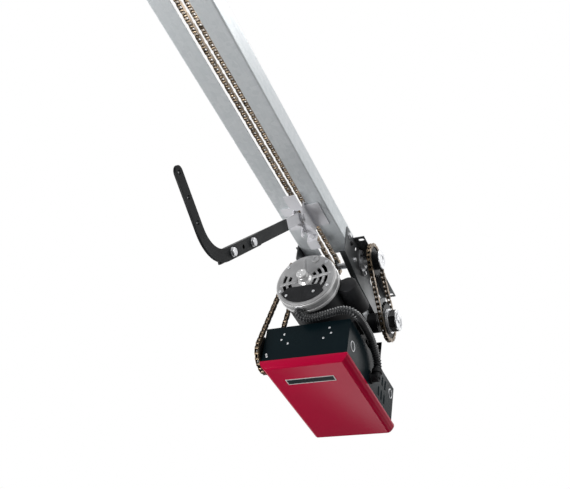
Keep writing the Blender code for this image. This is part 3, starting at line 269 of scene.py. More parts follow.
WHITE_INK = make_finish("white edging", (0.62, 0.62, 0.61), (0.72, 0.72, 0.71), 0.0, (0.35, 0.45), patch=40.0,
                        grain=900.0, depth=0.05, dust=0.3)


# ------------------------------------------------------------------ meshes

def piece(name, points, faces, look, body, replaces=(), angle=32, place=True):
    """A mesh from points and faces, closed up, facing out, smooth below an angle, riding on a body."""
    mesh = bpy.data.meshes.new(name)
    mesh.from_pydata((spot(points) if place else np.asarray(points)).tolist(), [], faces)
    bm = bmesh.new()
    bm.from_mesh(mesh)
    bmesh.ops.remove_doubles(bm, verts=bm.verts, dist=1e-7)
    bmesh.ops.recalc_face_normals(bm, faces=bm.faces)
    bm.to_mesh(mesh)
    bm.free()
    mesh.shade_smooth()
    mesh.set_sharp_from_angle(angle=math.radians(angle))
    mesh.materials.append(look)
    item = bpy.data.objects.new(name, mesh)
    bpy.context.scene.collection.objects.link(item)
    if replaces:
        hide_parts(*replaces)
    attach(item, body)
    return item


def grid_faces(rows, columns, wrap_rows=False, wrap_columns=True, first=0):
    """Quads over a grid numbered row by row; either direction can close on itself."""
    i, j = np.meshgrid(np.arange(rows if wrap_rows else rows - 1),
                       np.arange(columns if wrap_columns else columns - 1), indexing="ij")
    k = (i + 1) % rows
    m = (j + 1) % columns
    quads = np.stack([i * columns + j, i * columns + m, k * columns + m, k * columns + j], -1)
    return (quads.reshape(-1, 4) + first).tolist()


def axes(axis):
    """Unit vectors (u, v, w) with w along the named axis: X takes (Y, Z), Y takes (X, Z), Z takes (X, Y)."""
    picks = {"X": (1, 2, 0), "Y": (0, 2, 1), "Z": (0, 1, 2)}[axis]
    return np.eye(3)[list(picks)]


def lathe_grid(axis, centre, profile, columns=48, sides=None):
    """Points of a turned profile of (radius, height): radius times the unit circle, plus the height.

    `sides` gives (first row, last row, flats): between those rows the radius is divided by the cosine of
    the angle from the nearest flat, which makes a regular polygon with the profile's radius to its flats.
    """
    profile = np.asarray(profile, float)
    turn = np.arange(columns) * 2 * math.pi / columns
    radius = np.repeat(profile[:, :1], columns, 1)
    if sides:
        first, last, flats = sides
        part = math.pi / flats
        lean = (turn + part) % (2 * part) - part
        radius[first:last] = np.minimum(radius[first:last] / np.cos(lean), profile[first:last, :1] * 1.12)
    u, v, w = axes(axis)
    ring = (radius[..., None] * (np.cos(turn)[None, :, None] * u + np.sin(turn)[None, :, None] * v)
            + profile[:, 1, None, None] * w)
    return ring + centre[0] * u + centre[1] * v


def lathe(name, axis, centre, profile, look, body, replaces=(), columns=48, sides=None, angle=32):
    """A turned piece whose first and last rows close on the axis or on a flat cap."""
    grid = lathe_grid(axis, centre, profile, columns, sides)
    rows = len(profile)
    faces = grid_faces(rows, columns)
    faces.append(list(range(columns)))
    faces.append([(rows - 1) * columns + j for j in range(columns)])
    return piece(name, grid.reshape(-1, 3), faces, look, body, replaces, angle)


def hex_bolt(name, axis, centre, face, way, look, body, size=6.5, high=5.5, washer=True, tail=0.0):
    """A hexagon head on a washer, standing out from `face` along the axis: chamfered top, dished centre."""
    steps = [(0.0, 0.0), (size * 1.35, 0.0), (size * 1.35, 0.9), (size * 1.3, 1.1), (size, 1.2)] if washer \
        else [(0.0, 0.0), (size * 0.98, 0.0), (size, 0.2)]
    first = len(steps) - 1
    low = steps[-1][1]
    top = low + high
    steps += [(size, low + high * 0.8), (size * 0.93, top), (size * 0.7, top), (0.0, top - 0.4)]
    if tail:
        steps = steps[:-1] + [(size * 0.5, low + high), (size * 0.5, low + high + tail - 0.6),
                              (size * 0.42, low + high + tail), (0.0, low + high + tail)]
    profile = [(r, face + way * h) for r, h in steps]
    return lathe(name, axis, centre, profile, look, body, columns=36, sides=(first, first + 2, 6), angle=24)


def dome(name, axis, centre, face, way, radius, high, look, body):
    """A rivet head: height falls off as a circle's cap from the middle to the rim."""
    t = np.linspace(0, 1, 7)
    profile = [(radius * s, face + way * high * math.sqrt(max(0.0, 1 - s * s))) for s in t[::-1]]
    profile = [(0.0, face)] + profile
    return lathe(name, axis, centre, profile, look, body, columns=20, angle=50)


def bar(name, low, high, look, body, round_off=0.8, replaces=()):
    """A box from low to high corner with its edges rounded by two-step bevels."""
    low, high = np.asarray(low, float), np.asarray(high, float)
    corners = np.array([[x, y, z] for x in (0, 1) for y in (0, 1) for z in (0, 1)], float)
    quads = [(0, 1, 3, 2), (4, 6, 7, 5), (0, 4, 5, 1), (2, 3, 7, 6), (0, 2, 6, 4), (1, 5, 7, 3)]
    item = piece(name, low + corners * (high - low), quads, look, body, replaces)
    soften(item, round_off / 1000)
    return item


def soften(item, width, segments=2, limit=38):
    """Rounds sharp edges with a Bevel whose flats keep flat shading."""
    step = item.modifiers.new("edge", "BEVEL")
    step.width = width
    step.segments = segments
    step.limit_method = "ANGLE"
    step.angle_limit = math.radians(limit)
    step.harden_normals = True
    step.use_clamp_overlap = True


def dress(node, look, edge, every_bend=False):
    """A merged copy of a frame node in its finish, with true flats, smooth rounds and softened edges.

    An edge of 0 keeps the node's own faces, flat shaded; every_bend rounds shallow bends too.
    """
    source = frame["nodes"][node]
    bm = bmesh.new()
    bm.from_mesh(source.data)
    bmesh.ops.remove_doubles(bm, verts=bm.verts, dist=2e-6)
    if edge:
        bmesh.ops.dissolve_limit(bm, angle_limit=FLAT_WITHIN, verts=bm.verts, edges=bm.edges)
    bmesh.ops.recalc_face_normals(bm, faces=bm.faces)
    mesh = bpy.data.meshes.new(node + "_skin")
    bm.to_mesh(mesh)
    bm.free()
    if edge:
        mesh.shade_smooth()
        mesh.set_sharp_from_angle(angle=math.pi if every_bend else CREASE)
    else:
        mesh.shade_flat()
    mesh.materials.append(look)
    item = bpy.data.objects.new(node + "_skin", mesh)
    bpy.context.scene.collection.objects.link(item)
    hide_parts(node)
    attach(item, BODY_OF[node])
    if every_bend:
        soften(item, edge / 1000, 3, 6)
    elif edge:
        soften(item, edge / 1000)
    return item


# ------------------------------------------------------------------ frame nodes in their finishes

NODE_LOOKS = (
    (GALVANISED, 0.4, "left_rail right_rail gearbox_mount_plate"),
    (ZINC, 0.4, "idler_axle shaft_bearing_left shaft_bearing_right output_shaft shaft_end_disc clutch_shaft "
                "clutch_plates clutch_ring motor_rotor motor_conduit_connector cover_hinge_pin"),
    (PLATED, 0.0, "trolley"),
    (PLATED, 0.4, "arm_link release_lever arm_pivot_pin"),
    (BLACK_STEEL, 0.4, "header_bracket idler_sprocket box_rear_hanger "
                       "drive_sprocket output_sprocket limit_drive_sprocket clutch_sprocket "
                       "cover_hinge_leaf limit_sprocket straight_arm curved_arm"),
    (FRAME_SHEET_AND_SHEEN, 0.5, "frame_plate_left frame_plate_right"),
    (BOX_BLACK, 0.8, "control_box_shell"),
    (CAST_BLACK, 0.9, "shaft_hub gearbox_housing gearbox_cover clutch_nut motor_shell motor_wiring_plate "
                      "motor_drive_flange capacitor_cover box_conduit_connector transformer"),
    (CAST_ALLOY, 0.8, "motor_end_bell"),
    (BLACK_PLASTIC, 0.5, "cooling_fan motor_contactor limit_switch_bar"),
    (BOARD_GREEN, 0.2, "circuit_board"),
    (BRASS, 0.4, "worm_wheel limit_nut_close limit_nut_open"),
)
for look, edge, names in NODE_LOOKS:
    for node in names.split():
        dress(node, look, edge)
dress("control_box_cover", RED_ENAMEL, 1.6, True)


# ------------------------------------------------------------------ chains

def chain_route(first, second):
    """Roller centres round two sprockets (y, z, teeth), in millimetres.

    The pitch line is the belt round the two pitch circles: two straight runs, tangent to both, and an
    arc of each circle. It is sampled finely, then cut at equal lengths into an even number of pitches.
    """
    (y1, z1, n1), (y2, z2, n2) = first, second
    r1, r2 = (CHAIN_PITCH / (2 * math.sin(math.pi / n)) for n in (n1, n2))
    way = math.atan2(z2 - z1, y2 - y1)
    lean = math.acos((r1 - r2) / math.hypot(y2 - y1, z2 - z1))
    a = np.linspace(way + lean, way + 2 * math.pi - lean, 200)
    b = np.linspace(way - lean, way + lean, 200)
    line = np.concatenate([np.stack([y1 + r1 * np.cos(a), z1 + r1 * np.sin(a)], 1),
                           np.stack([y2 + r2 * np.cos(b), z2 + r2 * np.sin(b)], 1)])
    line = np.concatenate([line, line[:1]])
    run = np.concatenate([[0], np.cumsum(np.hypot(*np.diff(line, axis=0).T))])
    count = 2 * round(run[-1] / CHAIN_PITCH / 2)
    at = np.arange(count) * run[-1] / count
    return np.stack([np.interp(at, run, line[:, 0]), np.interp(at, run, line[:, 1])], 1)


def plate_shape(radius, thick):
    """A link plate: two round ends a pitch apart joined by straight sides, given some thickness."""
    left = np.radians(np.linspace(62, 298, 6))
    right = np.radians(np.linspace(-118, 118, 6))
    outline = np.concatenate([np.stack([radius * np.cos(left), radius * np.sin(left)], 1),
                              np.stack([CHAIN_PITCH + radius * np.cos(right), radius * np.sin(right)], 1)])
    return prism_shape(outline, 0.0, thick)


def prism_shape(outline, low, high):
    """Points (height, along, up) and faces of an outline drawn out between two heights."""
    n = len(outline)
    points = np.concatenate([np.column_stack([np.full(n, low), outline]),
                             np.column_stack([np.full(n, high), outline])])
    faces = [tuple(range(n)), tuple(range(n, 2 * n))]
    faces += [(j, (j + 1) % n, n + (j + 1) % n, n + j) for j in range(n)]
    return points, faces


def repeat(shape, places, turns):
    """Copies of a shape in the plane of a chain: each turned by its angle and moved to its (y, z)."""
    points, faces = shape
    c, s = np.cos(turns)[:, None], np.sin(turns)[:, None]
    along, up = points[None, :, 1], points[None, :, 2]
    x = np.broadcast_to(points[None, :, 0], (len(turns), len(points)))
    copies = np.stack([x, places[:, :1] + c * along - s * up, places[:, 1:] + s * along + c * up], -1)
    step = len(points)
    table = [tuple(int(v) + i * step for v in face) for i in range(len(turns)) for face in faces]
    return copies.reshape(-1, 3), table


def chain(node, plane, first, second):
    """Roller chain in place of a node: inner and outer links in turn, with rollers and pin ends."""
    route = chain_route(first, second)
    step = np.roll(route, -1, 0) - route
    turns = np.arctan2(step[:, 1], step[:, 0])
    ring = np.arange(10) * math.pi / 5
    roller = prism_shape(np.stack([4.0 * np.cos(ring), 4.0 * np.sin(ring)], 1), -2.9, 2.9)
    pin_ring = np.arange(8) * math.pi / 4
    pin = prism_shape(np.stack([2.0 * np.cos(pin_ring), 2.0 * np.sin(pin_ring)], 1), -5.0, 5.0)
    parts = [(roller, slice(None)), (pin, slice(None))]
    for choice, heights in ((slice(0, None, 2), (3.0, -3.9)), (slice(1, None, 2), (3.95, -4.85))):
        for height in heights:
            points, faces = plate_shape(5.1, 0.9)
            parts.append(((points + (height, 0, 0), faces), choice))
    points, faces, count = [], [], 0
    for shape, choice in parts:
        new, table = repeat(shape, route[choice], turns[choice])
        points.append(new)
        faces += [tuple(v + count for v in face) for face in table]
        count += len(new)
    points = np.concatenate(points) + (plane, 0, 0)
    mesh = bpy.data.meshes.new(node + "_links")
    mesh.from_pydata(spot(points).tolist(), [], faces)
    bm = bmesh.new()
    bm.from_mesh(mesh)
    bmesh.ops.recalc_face_normals(bm, faces=bm.faces)
    bm.to_mesh(mesh)
    bm.free()
    mesh.shade_smooth()
    mesh.set_sharp_from_angle(angle=math.radians(50))
    mesh.materials.append(CHAIN_STEEL)
    item = bpy.data.objects.new(node + "_links", mesh)
    bpy.context.scene.collection.objects.link(item)
    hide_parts(node)
    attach(item, HEAD)


OUTPUT = (209.0, 8.0)
GEAR = (337.0, -89.0)
LIMIT = (142.0, -291.0)
chain("rail_chain", 0.0, (-654.0, 10.0, 8), (*OUTPUT, 8))
chain("drive_chain", 100.5, (*OUTPUT, 20), (*GEAR, 24))
chain("limit_chain", -121.0, (*OUTPUT, 12), (*LIMIT, 20))


# ------------------------------------------------------------------ conduit

CONDUIT_ROUTE = np.array([
    (-24, 90, -213), (-24, 90, -217), (-20, 92, -224), (-11, 95, -230), (1, 98, -232), (14, 99, -231),
    (30, 100, -228),
    (46, 100, -225), (62, 100, -222), (76, 100, -220), (88, 100, -221), (99, 102, -224), (107, 108, -227),
    (111, 118, -228), (112, 132, -227), (112, 150, -225), (112, 170, -225), (112, 192, -226),
    (112, 213, -230), (112, 232, -238), (112, 248, -247), (112, 260, -257), (112, 266, -268), (112, 266, -278)],
    float)


def smooth_line(route, count):
    """Catmull-Rom line through a route in equal lengths: each part is a cubic of its four nearest points."""
    padded = np.concatenate([2 * route[:1] - route[1:2], route, 2 * route[-1:] - route[-2:-1]])
    t = np.linspace(0, 1, 20, endpoint=False)[None, :, None]
    a, b, c, d = (padded[k:len(padded) - 3 + k, None, :] for k in range(4))
    line = 0.5 * (2 * b + (c - a) * t + (2 * a - 5 * b + 4 * c - d) * t ** 2 + (3 * b - a - 3 * c + d) * t ** 3)
    line = np.concatenate([line.reshape(-1, 3), route[-1:]])
    run = np.concatenate([[0], np.cumsum(np.linalg.norm(np.diff(line, axis=0), axis=1))])
    at = np.linspace(0, run[-1], count)
    return np.stack([np.interp(at, run, line[:, k]) for k in range(3)], 1), at


def tube_grid(line, radius, columns):
    """Rings of the given radii round a line, their sides square to a fixed reference direction."""
    way = np.gradient(line, axis=0)
    way /= np.linalg.norm(way, axis=1, keepdims=True)
    side = np.cross(way, (0.0, 0.35, -1.0))
    side[:6] = side[6]
    for _ in range(3):
        side[1:-1] = (side[:-2] + side[1:-1] + side[2:]) / 3
    side -= (side * way).sum(1, keepdims=True) * way
    side /= np.linalg.norm(side, axis=1, keepdims=True)
    up = np.cross(way, side)
    turn = np.arange(columns) * 2 * math.pi / columns
    return (line[:, None] + radius[:, None, None] * (np.cos(turn)[None, :, None] * side[:, None]
                                                     + np.sin(turn)[None, :, None] * up[:, None]))


def conduit():
    """Corrugated conduit: its radius dips between ribs as a flattened cosine of the distance run."""
    line, run = smooth_line(CONDUIT_ROUTE, 900)
    ribs = round(run[-1] / 6.2)
    wave = 0.5 - 0.5 * np.cos(2 * math.pi * ribs * run / run[-1])
    radius = 7.7 + 2.25 * wave ** 0.7
    grid = tube_grid(line, radius, 28)
    rows, columns = grid.shape[:2]
    faces = grid_faces(rows, columns)
    faces += [list(range(columns)), [(rows - 1) * columns + j for j in range(columns)]]
    piece("conduit_ribbed", grid.reshape(-1, 3), faces, CONDUIT_BLACK_AND_HIGHLIGHT, HEAD, ("conduit",), angle=70)


conduit()


# ------------------------------------------------------------------ motor

MOTOR = (-13.0, -134.0)


def motor_front():
    """Hub cap with stepped rings, rim bands, vent spokes, through bolts, top pad and the plate's screws."""
    profile = [(0, 50.4), (4.5, 50.4), (5.2, 51.0), (7.5, 51.0), (8.2, 50.2), (11, 50.0), (12.6, 51.2),
               (13, 53),
               (13, 57), (12.4, 57.6), (12.4, 59), (13, 59.6), (13, 70), (15.5, 73), (17.5, 74.7), (0, 74.7)]
    lathe("hub_cap_turned", "Y", MOTOR, profile, CAP_ALLOY, HEAD, ("motor_hub_cap",), columns=64)
    profile = [(75.0, 79.0), (75.9, 79.6), (76.2, 81.0), (76.2, 84.0), (75.9, 85.4), (75.0, 86.0), (74.0, 86.0),
               (74.0, 79.0)]
    for start, name in ((0.0, "bell_band_front"), (21.0, "bell_band_rear")):
        grid = lathe_grid("Y", MOTOR, [(r, y + start) for r, y in profile], 96)
        piece(name, grid.reshape(-1, 3), grid_faces(len(profile), 96, wrap_rows=True), CAP_ALLOY, HEAD)
    for name, angle, inner, outer in (("vent_spoke_right", 8.0, 18.0, 64.0),
                                      ("vent_spoke_left", 188.0, 18.0, 64.0),
                                      ("vent_spoke_top", 100.0, 18.0, 62.0)):
        spoke(name, math.radians(angle), inner, outer)
    for k, angle in enumerate((42, 138, 205, 335)):
        a = math.radians(angle)
        hex_bolt(f"bell_bolt_{k}", "Y", (MOTOR[0] + 66 * math.cos(a), MOTOR[1] + 66 * math.sin(a)), 75.0, -1,
                 ZINC, HEAD, size=3.4, high=3.0, washer=False)
    for k, (x, z) in enumerate(((-54, -178), (15, -176))):
        hex_bolt(f"plate_screw_{k}", "Y", (x, z), 72.4, -1, ZINC, HEAD, size=3.2, high=1.8, washer=False)
    profile = [(0, 74.9), (11, 74.9), (11, 72.6), (10, 71.9), (4.2, 71.9), (4.0, 73.4), (0, 73.4)]
    lathe("bell_pad", "Y", (6.0, -76.5), profile, CAST_ALLOY, HEAD, columns=40)


def spoke(name, angle, inner, outer):
    """A raised rib on the bell's face: across it the height is a flattened half circle, along it constant."""
    u = np.linspace(inner, outer, 14)
    v = np.linspace(-1, 1, 9)
    across = np.broadcast_to(v * 4.2, (14, 9))
    high = 75.0 - 2.4 * np.clip(1 - np.abs(v) ** 4, 0, 1) ** 0.5 * np.ones((14, 1))
    high[0] = high[-1] = 75.0
    along = np.broadcast_to(u[:, None], (14, 9))
    x = MOTOR[0] + along * math.cos(angle) - across * math.sin(angle)
    z = MOTOR[1] + along * math.sin(angle) + across * math.cos(angle)
    top = np.stack([x, high, z], -1)
    base = np.stack([x, np.full_like(x, 75.9), z], -1)
    points = np.concatenate([top.reshape(-1, 3), base.reshape(-1, 3)])
    faces = grid_faces(14, 9, False, False) + grid_faces(14, 9, False, False, first=126)
    rim = ([(0, j) for j in range(8)] + [(i, 8) for i in range(13)] + [(13, j) for j in range(8, 0, -1)]
           + [(i, 0) for i in range(13, 0, -1)])
    ids = [i * 9 + j for i, j in rim]
    faces += [(a, b, b + 126, a + 126) for a, b in zip(ids, ids[1:] + ids[:1])]
    piece(name, points, faces, CAST_ALLOY, HEAD, angle=50)


motor_front()


# ------------------------------------------------------------------ power head trim

def head_trim():
    """Bolts, rivets, knockouts and the galvanised strip over the motor."""
    bar("motor_mount_strip", (51.2, 200, -97.0), (52.8, 322, -62.0), GALVANISED, HEAD, 0.5)
    for side, tag in ((-1, "left"), (1, "right")):
        face = side * (65.2 + 3.8)
        for k, away in enumerate((-27, 27)):
            y = OUTPUT[0] + away * math.cos(math.radians(-45))
            z = OUTPUT[1] + away * math.sin(math.radians(-45))
            hex_bolt(f"bearing_bolt_{tag}_{k}", "X", (y, z), face, side, ZINC, HEAD, size=4.6, high=3.6)
        plate = side * 65.2
        for k, (y, z) in enumerate(((119, 24), (136, 12), (166, -17))):
            hex_bolt(f"rail_bolt_{tag}_{k}", "X", (y, z), plate, side, ZINC if k != 1 else CAST_BLACK, HEAD,
                     size=5.4 if k == 0 else 4.4, high=4.0)
    for k, (y, z) in enumerate(((276, -66), (276, -160), (382, -66), (382, -160))):
        hex_bolt(f"gearbox_bolt_{k}", "X", (y, z), -48.0, -1, ZINC, HEAD, size=4.4, high=3.6)
        hex_bolt(f"gearbox_stud_{k}", "X", (y, z - 2), 24.0, 1, ZINC, HEAD, size=4.4, high=3.6)
    for k, angle in enumerate((35, 145, 215, 325)):
        a = math.radians(angle)
        hex_bolt(f"flange_bolt_{k}", "Y", (MOTOR[0] + 63 * math.cos(a), MOTOR[1] + 63 * math.sin(a)), 236.0, 1,
                 ZINC, HEAD, size=4.0, high=3.2)
    rivets = ((-64.5, -255.9), (-69.6, -271.1), (-51.6, -282.6), (48.2, -252.9), (53.5, -267.6), (35.8, -279.6),
              (-103.0, -307.0), (-100.5, -313.2))
    for k, (x, z) in enumerate(rivets):
        dome(f"front_rivet_{k}", "Y", (x, z), 115.5, -1, 2.6, 1.2, ZINC, HEAD)
    for k, (y, z, radius) in enumerate(((143, -292, 11.0), (400, -262, 11.0))):
        rim = [(radius + 1.6, 98.0), (radius + 1.4, 98.8), (radius + 0.4, 99.1), (radius - 0.8, 98.7),
               (radius - 1.0, 98.0)]
        grid = lathe_grid("X", (y, z), rim, 48)
        piece(f"knockout_ring_{k}", grid.reshape(-1, 3), grid_faces(len(rim), 48, wrap_rows=True), ZINC, HEAD)
        lathe(f"knockout_{k}", "X", (y, z), [(0, 98.0), (radius - 1.2, 98.0), (radius - 1.4, 98.5), (0, 98.5)],
              BOX_BLACK, HEAD, columns=40)
    for k, (y, z) in enumerate(((342, -262), (362, -262), (342, -300), (362, -300), (322, -262), (322, -300))):
        slot_rim(f"side_louvre_{k}", y, z)
    for k, (x, z) in enumerate(((-20, -10), (20, -10))):
        hex_bolt(f"hanger_bolt_{k}", "Y", (x * 0.75, z), 401.0, 1, ZINC, HEAD, size=5.4, high=4.4)
    for k, x in enumerate((-48, 48)):
        hex_bolt(f"box_bolt_{k}", "Z", (x, 408), -231.7, 1, ZINC, HEAD, size=4.4, high=3.6)
    for k, (x, z) in enumerate(((-15, -296), (15, -296))):
        dome(f"hinge_rivet_{k}", "Y", (x, z), 425.2, 1, 2.8, 1.4, ZINC, HEAD)


def slot_rim(name, y, z):
    """A pressed louvre on the box's side: a long low hump whose height is a half ellipse across and along."""
    u = np.linspace(-1, 1, 13)
    v = np.linspace(-1, 1, 9)
    a, b = np.meshgrid(u, v, indexing="ij")
    high = 1.9 * np.sqrt(np.clip(1 - a ** 6, 0, 1)) * np.sqrt(np.clip(1 - b ** 2, 0, 1))
    top = np.stack([98.0 + high, y + 3.0 * b, z + 13.0 * a], -1)
    base = np.stack([np.full_like(a, 97.6), y + 3.0 * b, z + 13.0 * a], -1)
    points = np.concatenate([top.reshape(-1, 3), base.reshape(-1, 3)])
    n = 13 * 9
    faces = grid_faces(13, 9, False, False) + grid_faces(13, 9, False, False, first=n)
    rim = ([(0, j) for j in range(8)] + [(i, 8) for i in range(12)] + [(12, j) for j in range(8, 0, -1)]
           + [(i, 0) for i in range(12, 0, -1)])
    ids = [i * 9 + j for i, j in rim]
    faces += [(c, d, d + n, c + n) for c, d in zip(ids, ids[1:] + ids[:1])]
    piece(name, points, faces, BOX_BLACK, HEAD, angle=60)


head_trim()


# ------------------------------------------------------------------ cover badge

def badge():
    """A blank black plaque with a white edging on the cover's face, as a thin plate and a raised frame."""
    x, y, z = (-70.6, 48.6), (167.2, 187.8), -346.7
    bar("cover_plaque", (x[0] + 1, y[0] + 1, z - 0.5), (x[1] - 1, y[1] - 1, z + 0.3), BOX_BLACK, "cover", 0.25)
    outer = [(x[0], y[0]), (x[1], y[0]), (x[1], y[1]), (x[0], y[1])]
    inner = [(x[0] + 1.9, y[0] + 1.9), (x[1] - 1.9, y[0] + 1.9), (x[1] - 1.9, y[1] - 1.9),
             (x[0] + 1.9, y[1] - 1.9)]
    rings = [[(*p, h) for p in loop] for loop, h in ((outer, z + 0.2), (outer, z - 0.8), (inner, z - 0.8),
                                                    (inner, z + 0.2))]
    points = np.array(rings, float).reshape(-1, 3)
    piece("plaque_frame", points, grid_faces(4, 4, wrap_rows=True), WHITE_INK, "cover", angle=20)


badge()


# ------------------------------------------------------------------ trolley and arm hardware

ARM_WAY = math.atan2(-0.7824, -0.6228)


def arm_spot(run):
    """(y, z) on the arm's middle line at a distance from the pivot."""
    return (-26.0 + run * math.cos(ARM_WAY), -30.4 + run * math.sin(ARM_WAY))


def arm_hardware():
    """Hexagon bolts through both arms, with a washer and a nut at the back, and the trolley's take-up bolt."""
    for node, run in (("arm_bolt_upper", 302.0), ("arm_bolt_lower", 397.0)):
        profile = [(0.0, -5.0), (6.6, -5.0), (7.4, -4.4), (7.4, 1.4), (9.0, 1.6), (9.0, 2.9), (5.0, 2.9),
                   (5.0, 13.9),
                   (9.5, 13.9), (9.5, 15.0), (8.2, 15.2), (8.2, 19.4), (7.4, 20.1), (4.0, 20.1), (0.0, 19.7)]
        grid = lathe_grid("X", arm_spot(run), profile, 36, sides=(10, 12, 6))
        faces = grid_faces(len(profile), 36)
        piece(node + "_hex", grid.reshape(-1, 3), faces, ZINC, "door_arm", (node,), angle=24)
    profile = [(0.0, 46.7), (5.2, 46.7), (6.4, 47.4), (6.4, 51.7), (4.0, 51.7), (4.0, 54.8), (8.0, 54.8),
               (8.0, 55.9),
               (6.9, 56.0), (6.9, 61.4), (6.2, 61.8), (4.0, 61.8), (4.0, 71.0), (3.3, 71.8), (0.0, 71.8)]
    grid = lathe_grid("Y", (0.0, -27.0), profile, 36, sides=(8, 10, 6))
    piece("take_up_bolt_hex", grid.reshape(-1, 3), grid_faces(len(profile), 36), PLATED, "trolley_carriage",
          ("take_up_bolt",), angle=24)


arm_hardware()


# ------------------------------------------------------------------ limit screw and box contents

def limit_screw():
    """Threaded rod: the radius follows a triangle wave of the distance along it less the turn."""
    low, high = -128.0, 68.0
    rows, columns = 620, 20
    x = np.linspace(low, high, rows)
    turn = np.arange(columns) / columns
    phase = (x[:, None] / 3.2 - turn[None, :]) % 1.0
    radius = 5.3 + 0.68 * (1 - np.abs(2 * phase - 1))
    plain = (x < -100)[:, None] | (x > 60)[:, None]
    radius = np.where(plain, 5.9, radius)
    radius[0] = radius[-1] = 5.0
    angle = 2 * math.pi * turn[None, :]
    grid = np.stack([np.broadcast_to(x[:, None], radius.shape), LIMIT[0] + radius * np.cos(angle),
                     LIMIT[1] + radius * np.sin(angle)], -1)
    faces = grid_faces(rows, columns)
    faces += [list(range(columns)), [(rows - 1) * columns + j for j in range(columns)]]
    piece("limit_shaft_threaded", grid.reshape(-1, 3), faces, ZINC, "limit_screw", ("limit_shaft",), angle=60)


def board_parts():
    """Relays, terminals, capacitors and resistors under the circuit board, and two switches on the bar."""
    low = -247.5
    for k, (x, y) in enumerate(((-4, 222), (22, 222), (48, 222))):
        bar(f"board_relay_{k}", (x - 9, y - 9, low - 17), (x + 9, y + 9, low), BLACK_PLASTIC, HEAD, 0.8)
    for k in range(8):
        left = -14 + 11 * k
        bar(f"board_terminal_{k}", (left, 378, low - 10), (left + 9.4, 391, low), BOARD_GREEN, HEAD, 0.6)
        dome(f"terminal_screw_{k}", "Z", (-9.3 + 11 * k, 384), low - 10, -1, 2.4, 0.9, ZINC, HEAD)
    for k, (x, y, radius, high) in enumerate(((0, 262, 8, 24), (22, 262, 8, 24), (50, 270, 6, 16),
                                             (66, 262, 5, 12))):
        profile = [(0.0, low), (radius, low), (radius, low - high + 0.8), (radius - 0.8, low - high),
                   (radius - 2.2, low - high + 0.3), (0.0, low - high + 0.3)]
        lathe(f"board_capacitor_{k}", "Z", (x, y), profile, BLACK_PLASTIC, HEAD, columns=28)
    for k in range(10):
        y = 296 + 7.0 * k
        profile = [(0.0, -6.5), (1.0, -6.5), (2.0, -6.0), (2.1, -4.2), (1.7, -3.4), (1.7, 3.4), (2.1, 4.2),
                   (2.0, 6.0),
                   (1.0, 6.5), (0.0, 6.5)]
        lathe(f"board_resistor_{k}", "X", (y, low - 2.4), [(r, h + 20 + 18 * (k % 2)) for r, h in profile],
              BRASS if k % 3 else ZINC, HEAD, columns=14)
    for k, x in enumerate((-58, 6)):
        bar(f"limit_switch_{k}", (x - 14, 163, -304 + 8.6), (x + 14, 177.6, -295.2), BLACK_PLASTIC, HEAD, 0.6)


limit_screw()
board_parts()


# ------------------------------------------------------------------ studio

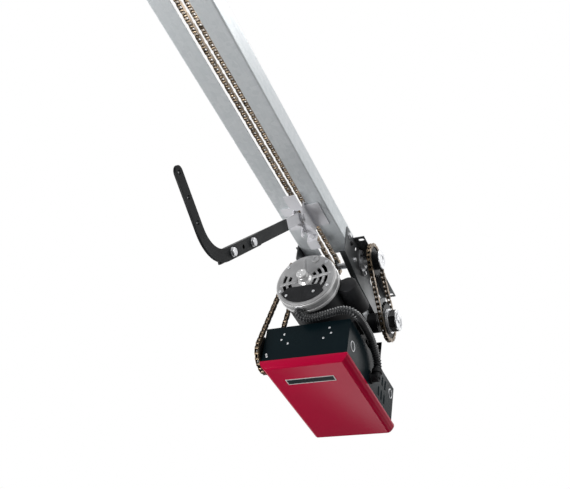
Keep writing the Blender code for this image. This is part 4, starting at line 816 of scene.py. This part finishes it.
def studio():
    """Grey floor, surround, soft lights and the camera at the object's viewing angle.

    The camera sees a white surround. Reflections see one brighter to the sides and above, the rest an even one.
    """
    mesh = bpy.data.meshes.new("studio_floor")
    corners = [(x * FLOOR_SIDE, y * FLOOR_SIDE, FLOOR_Z) for x, y in ((-1, -1), (1, -1), (1, 1), (-1, 1))]
    mesh.from_pydata(corners, [], [(0, 1, 2, 3)])
    floor = bpy.data.objects.new("studio_floor", mesh)
    pale = bpy.data.materials.new("pale floor")
    pale.use_nodes = True
    pale.node_tree.nodes["Principled BSDF"].inputs["Base Color"].default_value = (0.18, 0.18, 0.18, 1)
    pale.node_tree.nodes["Principled BSDF"].inputs["Roughness"].default_value = 0.9
    mesh.materials.append(pale)
    bpy.context.scene.collection.objects.link(floor)

    world = bpy.data.worlds.new("studio surround")
    world.use_nodes = True
    tree = world.node_tree
    back = tree.nodes["Background"]
    back.inputs["Color"].default_value = (1.0, 1.0, 1.0, 1)
    sight = tree.nodes.new("ShaderNodeLightPath")
    way = tree.nodes.new("ShaderNodeTexCoord")
    parts = tree.nodes.new("ShaderNodeSeparateXYZ")
    tree.links.new(way.outputs["Generated"], parts.inputs["Vector"])
    sides = ramp(tree, maths(tree, "ABSOLUTE", parts.outputs["X"], 0.0), 0.2, 0.8, 0.2, 0.8)
    above = ramp(tree, parts.outputs["Z"], -0.3, 0.7, 0.0, 0.3)
    dim = mixed(tree, sight.outputs["Is Glossy Ray"], 0.45, maths(tree, "ADD", sides, above))
    strength = maths(tree, "MAXIMUM", sight.outputs["Is Camera Ray"], dim)
    tree.links.new(strength, back.inputs["Strength"])
    bpy.context.scene.world = world
    bpy.context.scene.view_settings.view_transform = "Standard"

    lights = (
        ("key_light", (-1.0, -1.2, -1.6), (-0.1, -0.3, -0.1), 0.0, (1.2, 1.2), 42.0),
        ("sheen_light", (-0.548, 1.612, -1.54), None, 64.2, (0.7, 1.5), 7.0),
        ("side_light", (2.2, -0.9, 0.4), (0.0, 0.0, -0.1), 0.0, (0.9, 0.9), 14.0),
        ("plate_light", (0.62, 1.40, 1.00), (-0.01, -0.02, -0.14), 0.0, (0.7, 0.7), 1.6),
        ("top_light", (0.3, -0.4, 2.2), (0.0, -0.2, 0.0), 0.0, (2.0, 2.0), 60.0),
    )
    for name, place, target, turn, size, power in lights:
        lamp = bpy.data.lights.new(name, "AREA")
        lamp.shape = "RECTANGLE"
        lamp.size, lamp.size_y = size
        lamp.energy = power
        item = bpy.data.objects.new(name, lamp)
        item.location = place
        item.visible_camera = False
        if target:
            aim = Vector(target) - Vector(place)
            item.rotation_euler = aim.to_track_quat("-Z", "Y").to_euler()
        else:
            item.rotation_euler = (math.pi, 0.0, math.radians(turn) - math.pi / 2)
        bpy.context.scene.collection.objects.link(item)

    camera = bpy.data.cameras.new("camera")
    camera.lens = 52.35
    camera.sensor_width = 36.0
    camera.clip_end = 60.0
    item = bpy.data.objects.new("camera", camera)
    right = Vector(CAMERA_RIGHT)
    back_way = Vector(CAMERA_BACK)
    up = back_way.cross(right)
    turn = Matrix((right, up, back_way)).transposed().to_4x4()
    item.matrix_world = Matrix.Translation(CAMERA_PLACE) @ turn
    bpy.context.scene.collection.objects.link(item)
    bpy.context.scene.camera = item


studio()
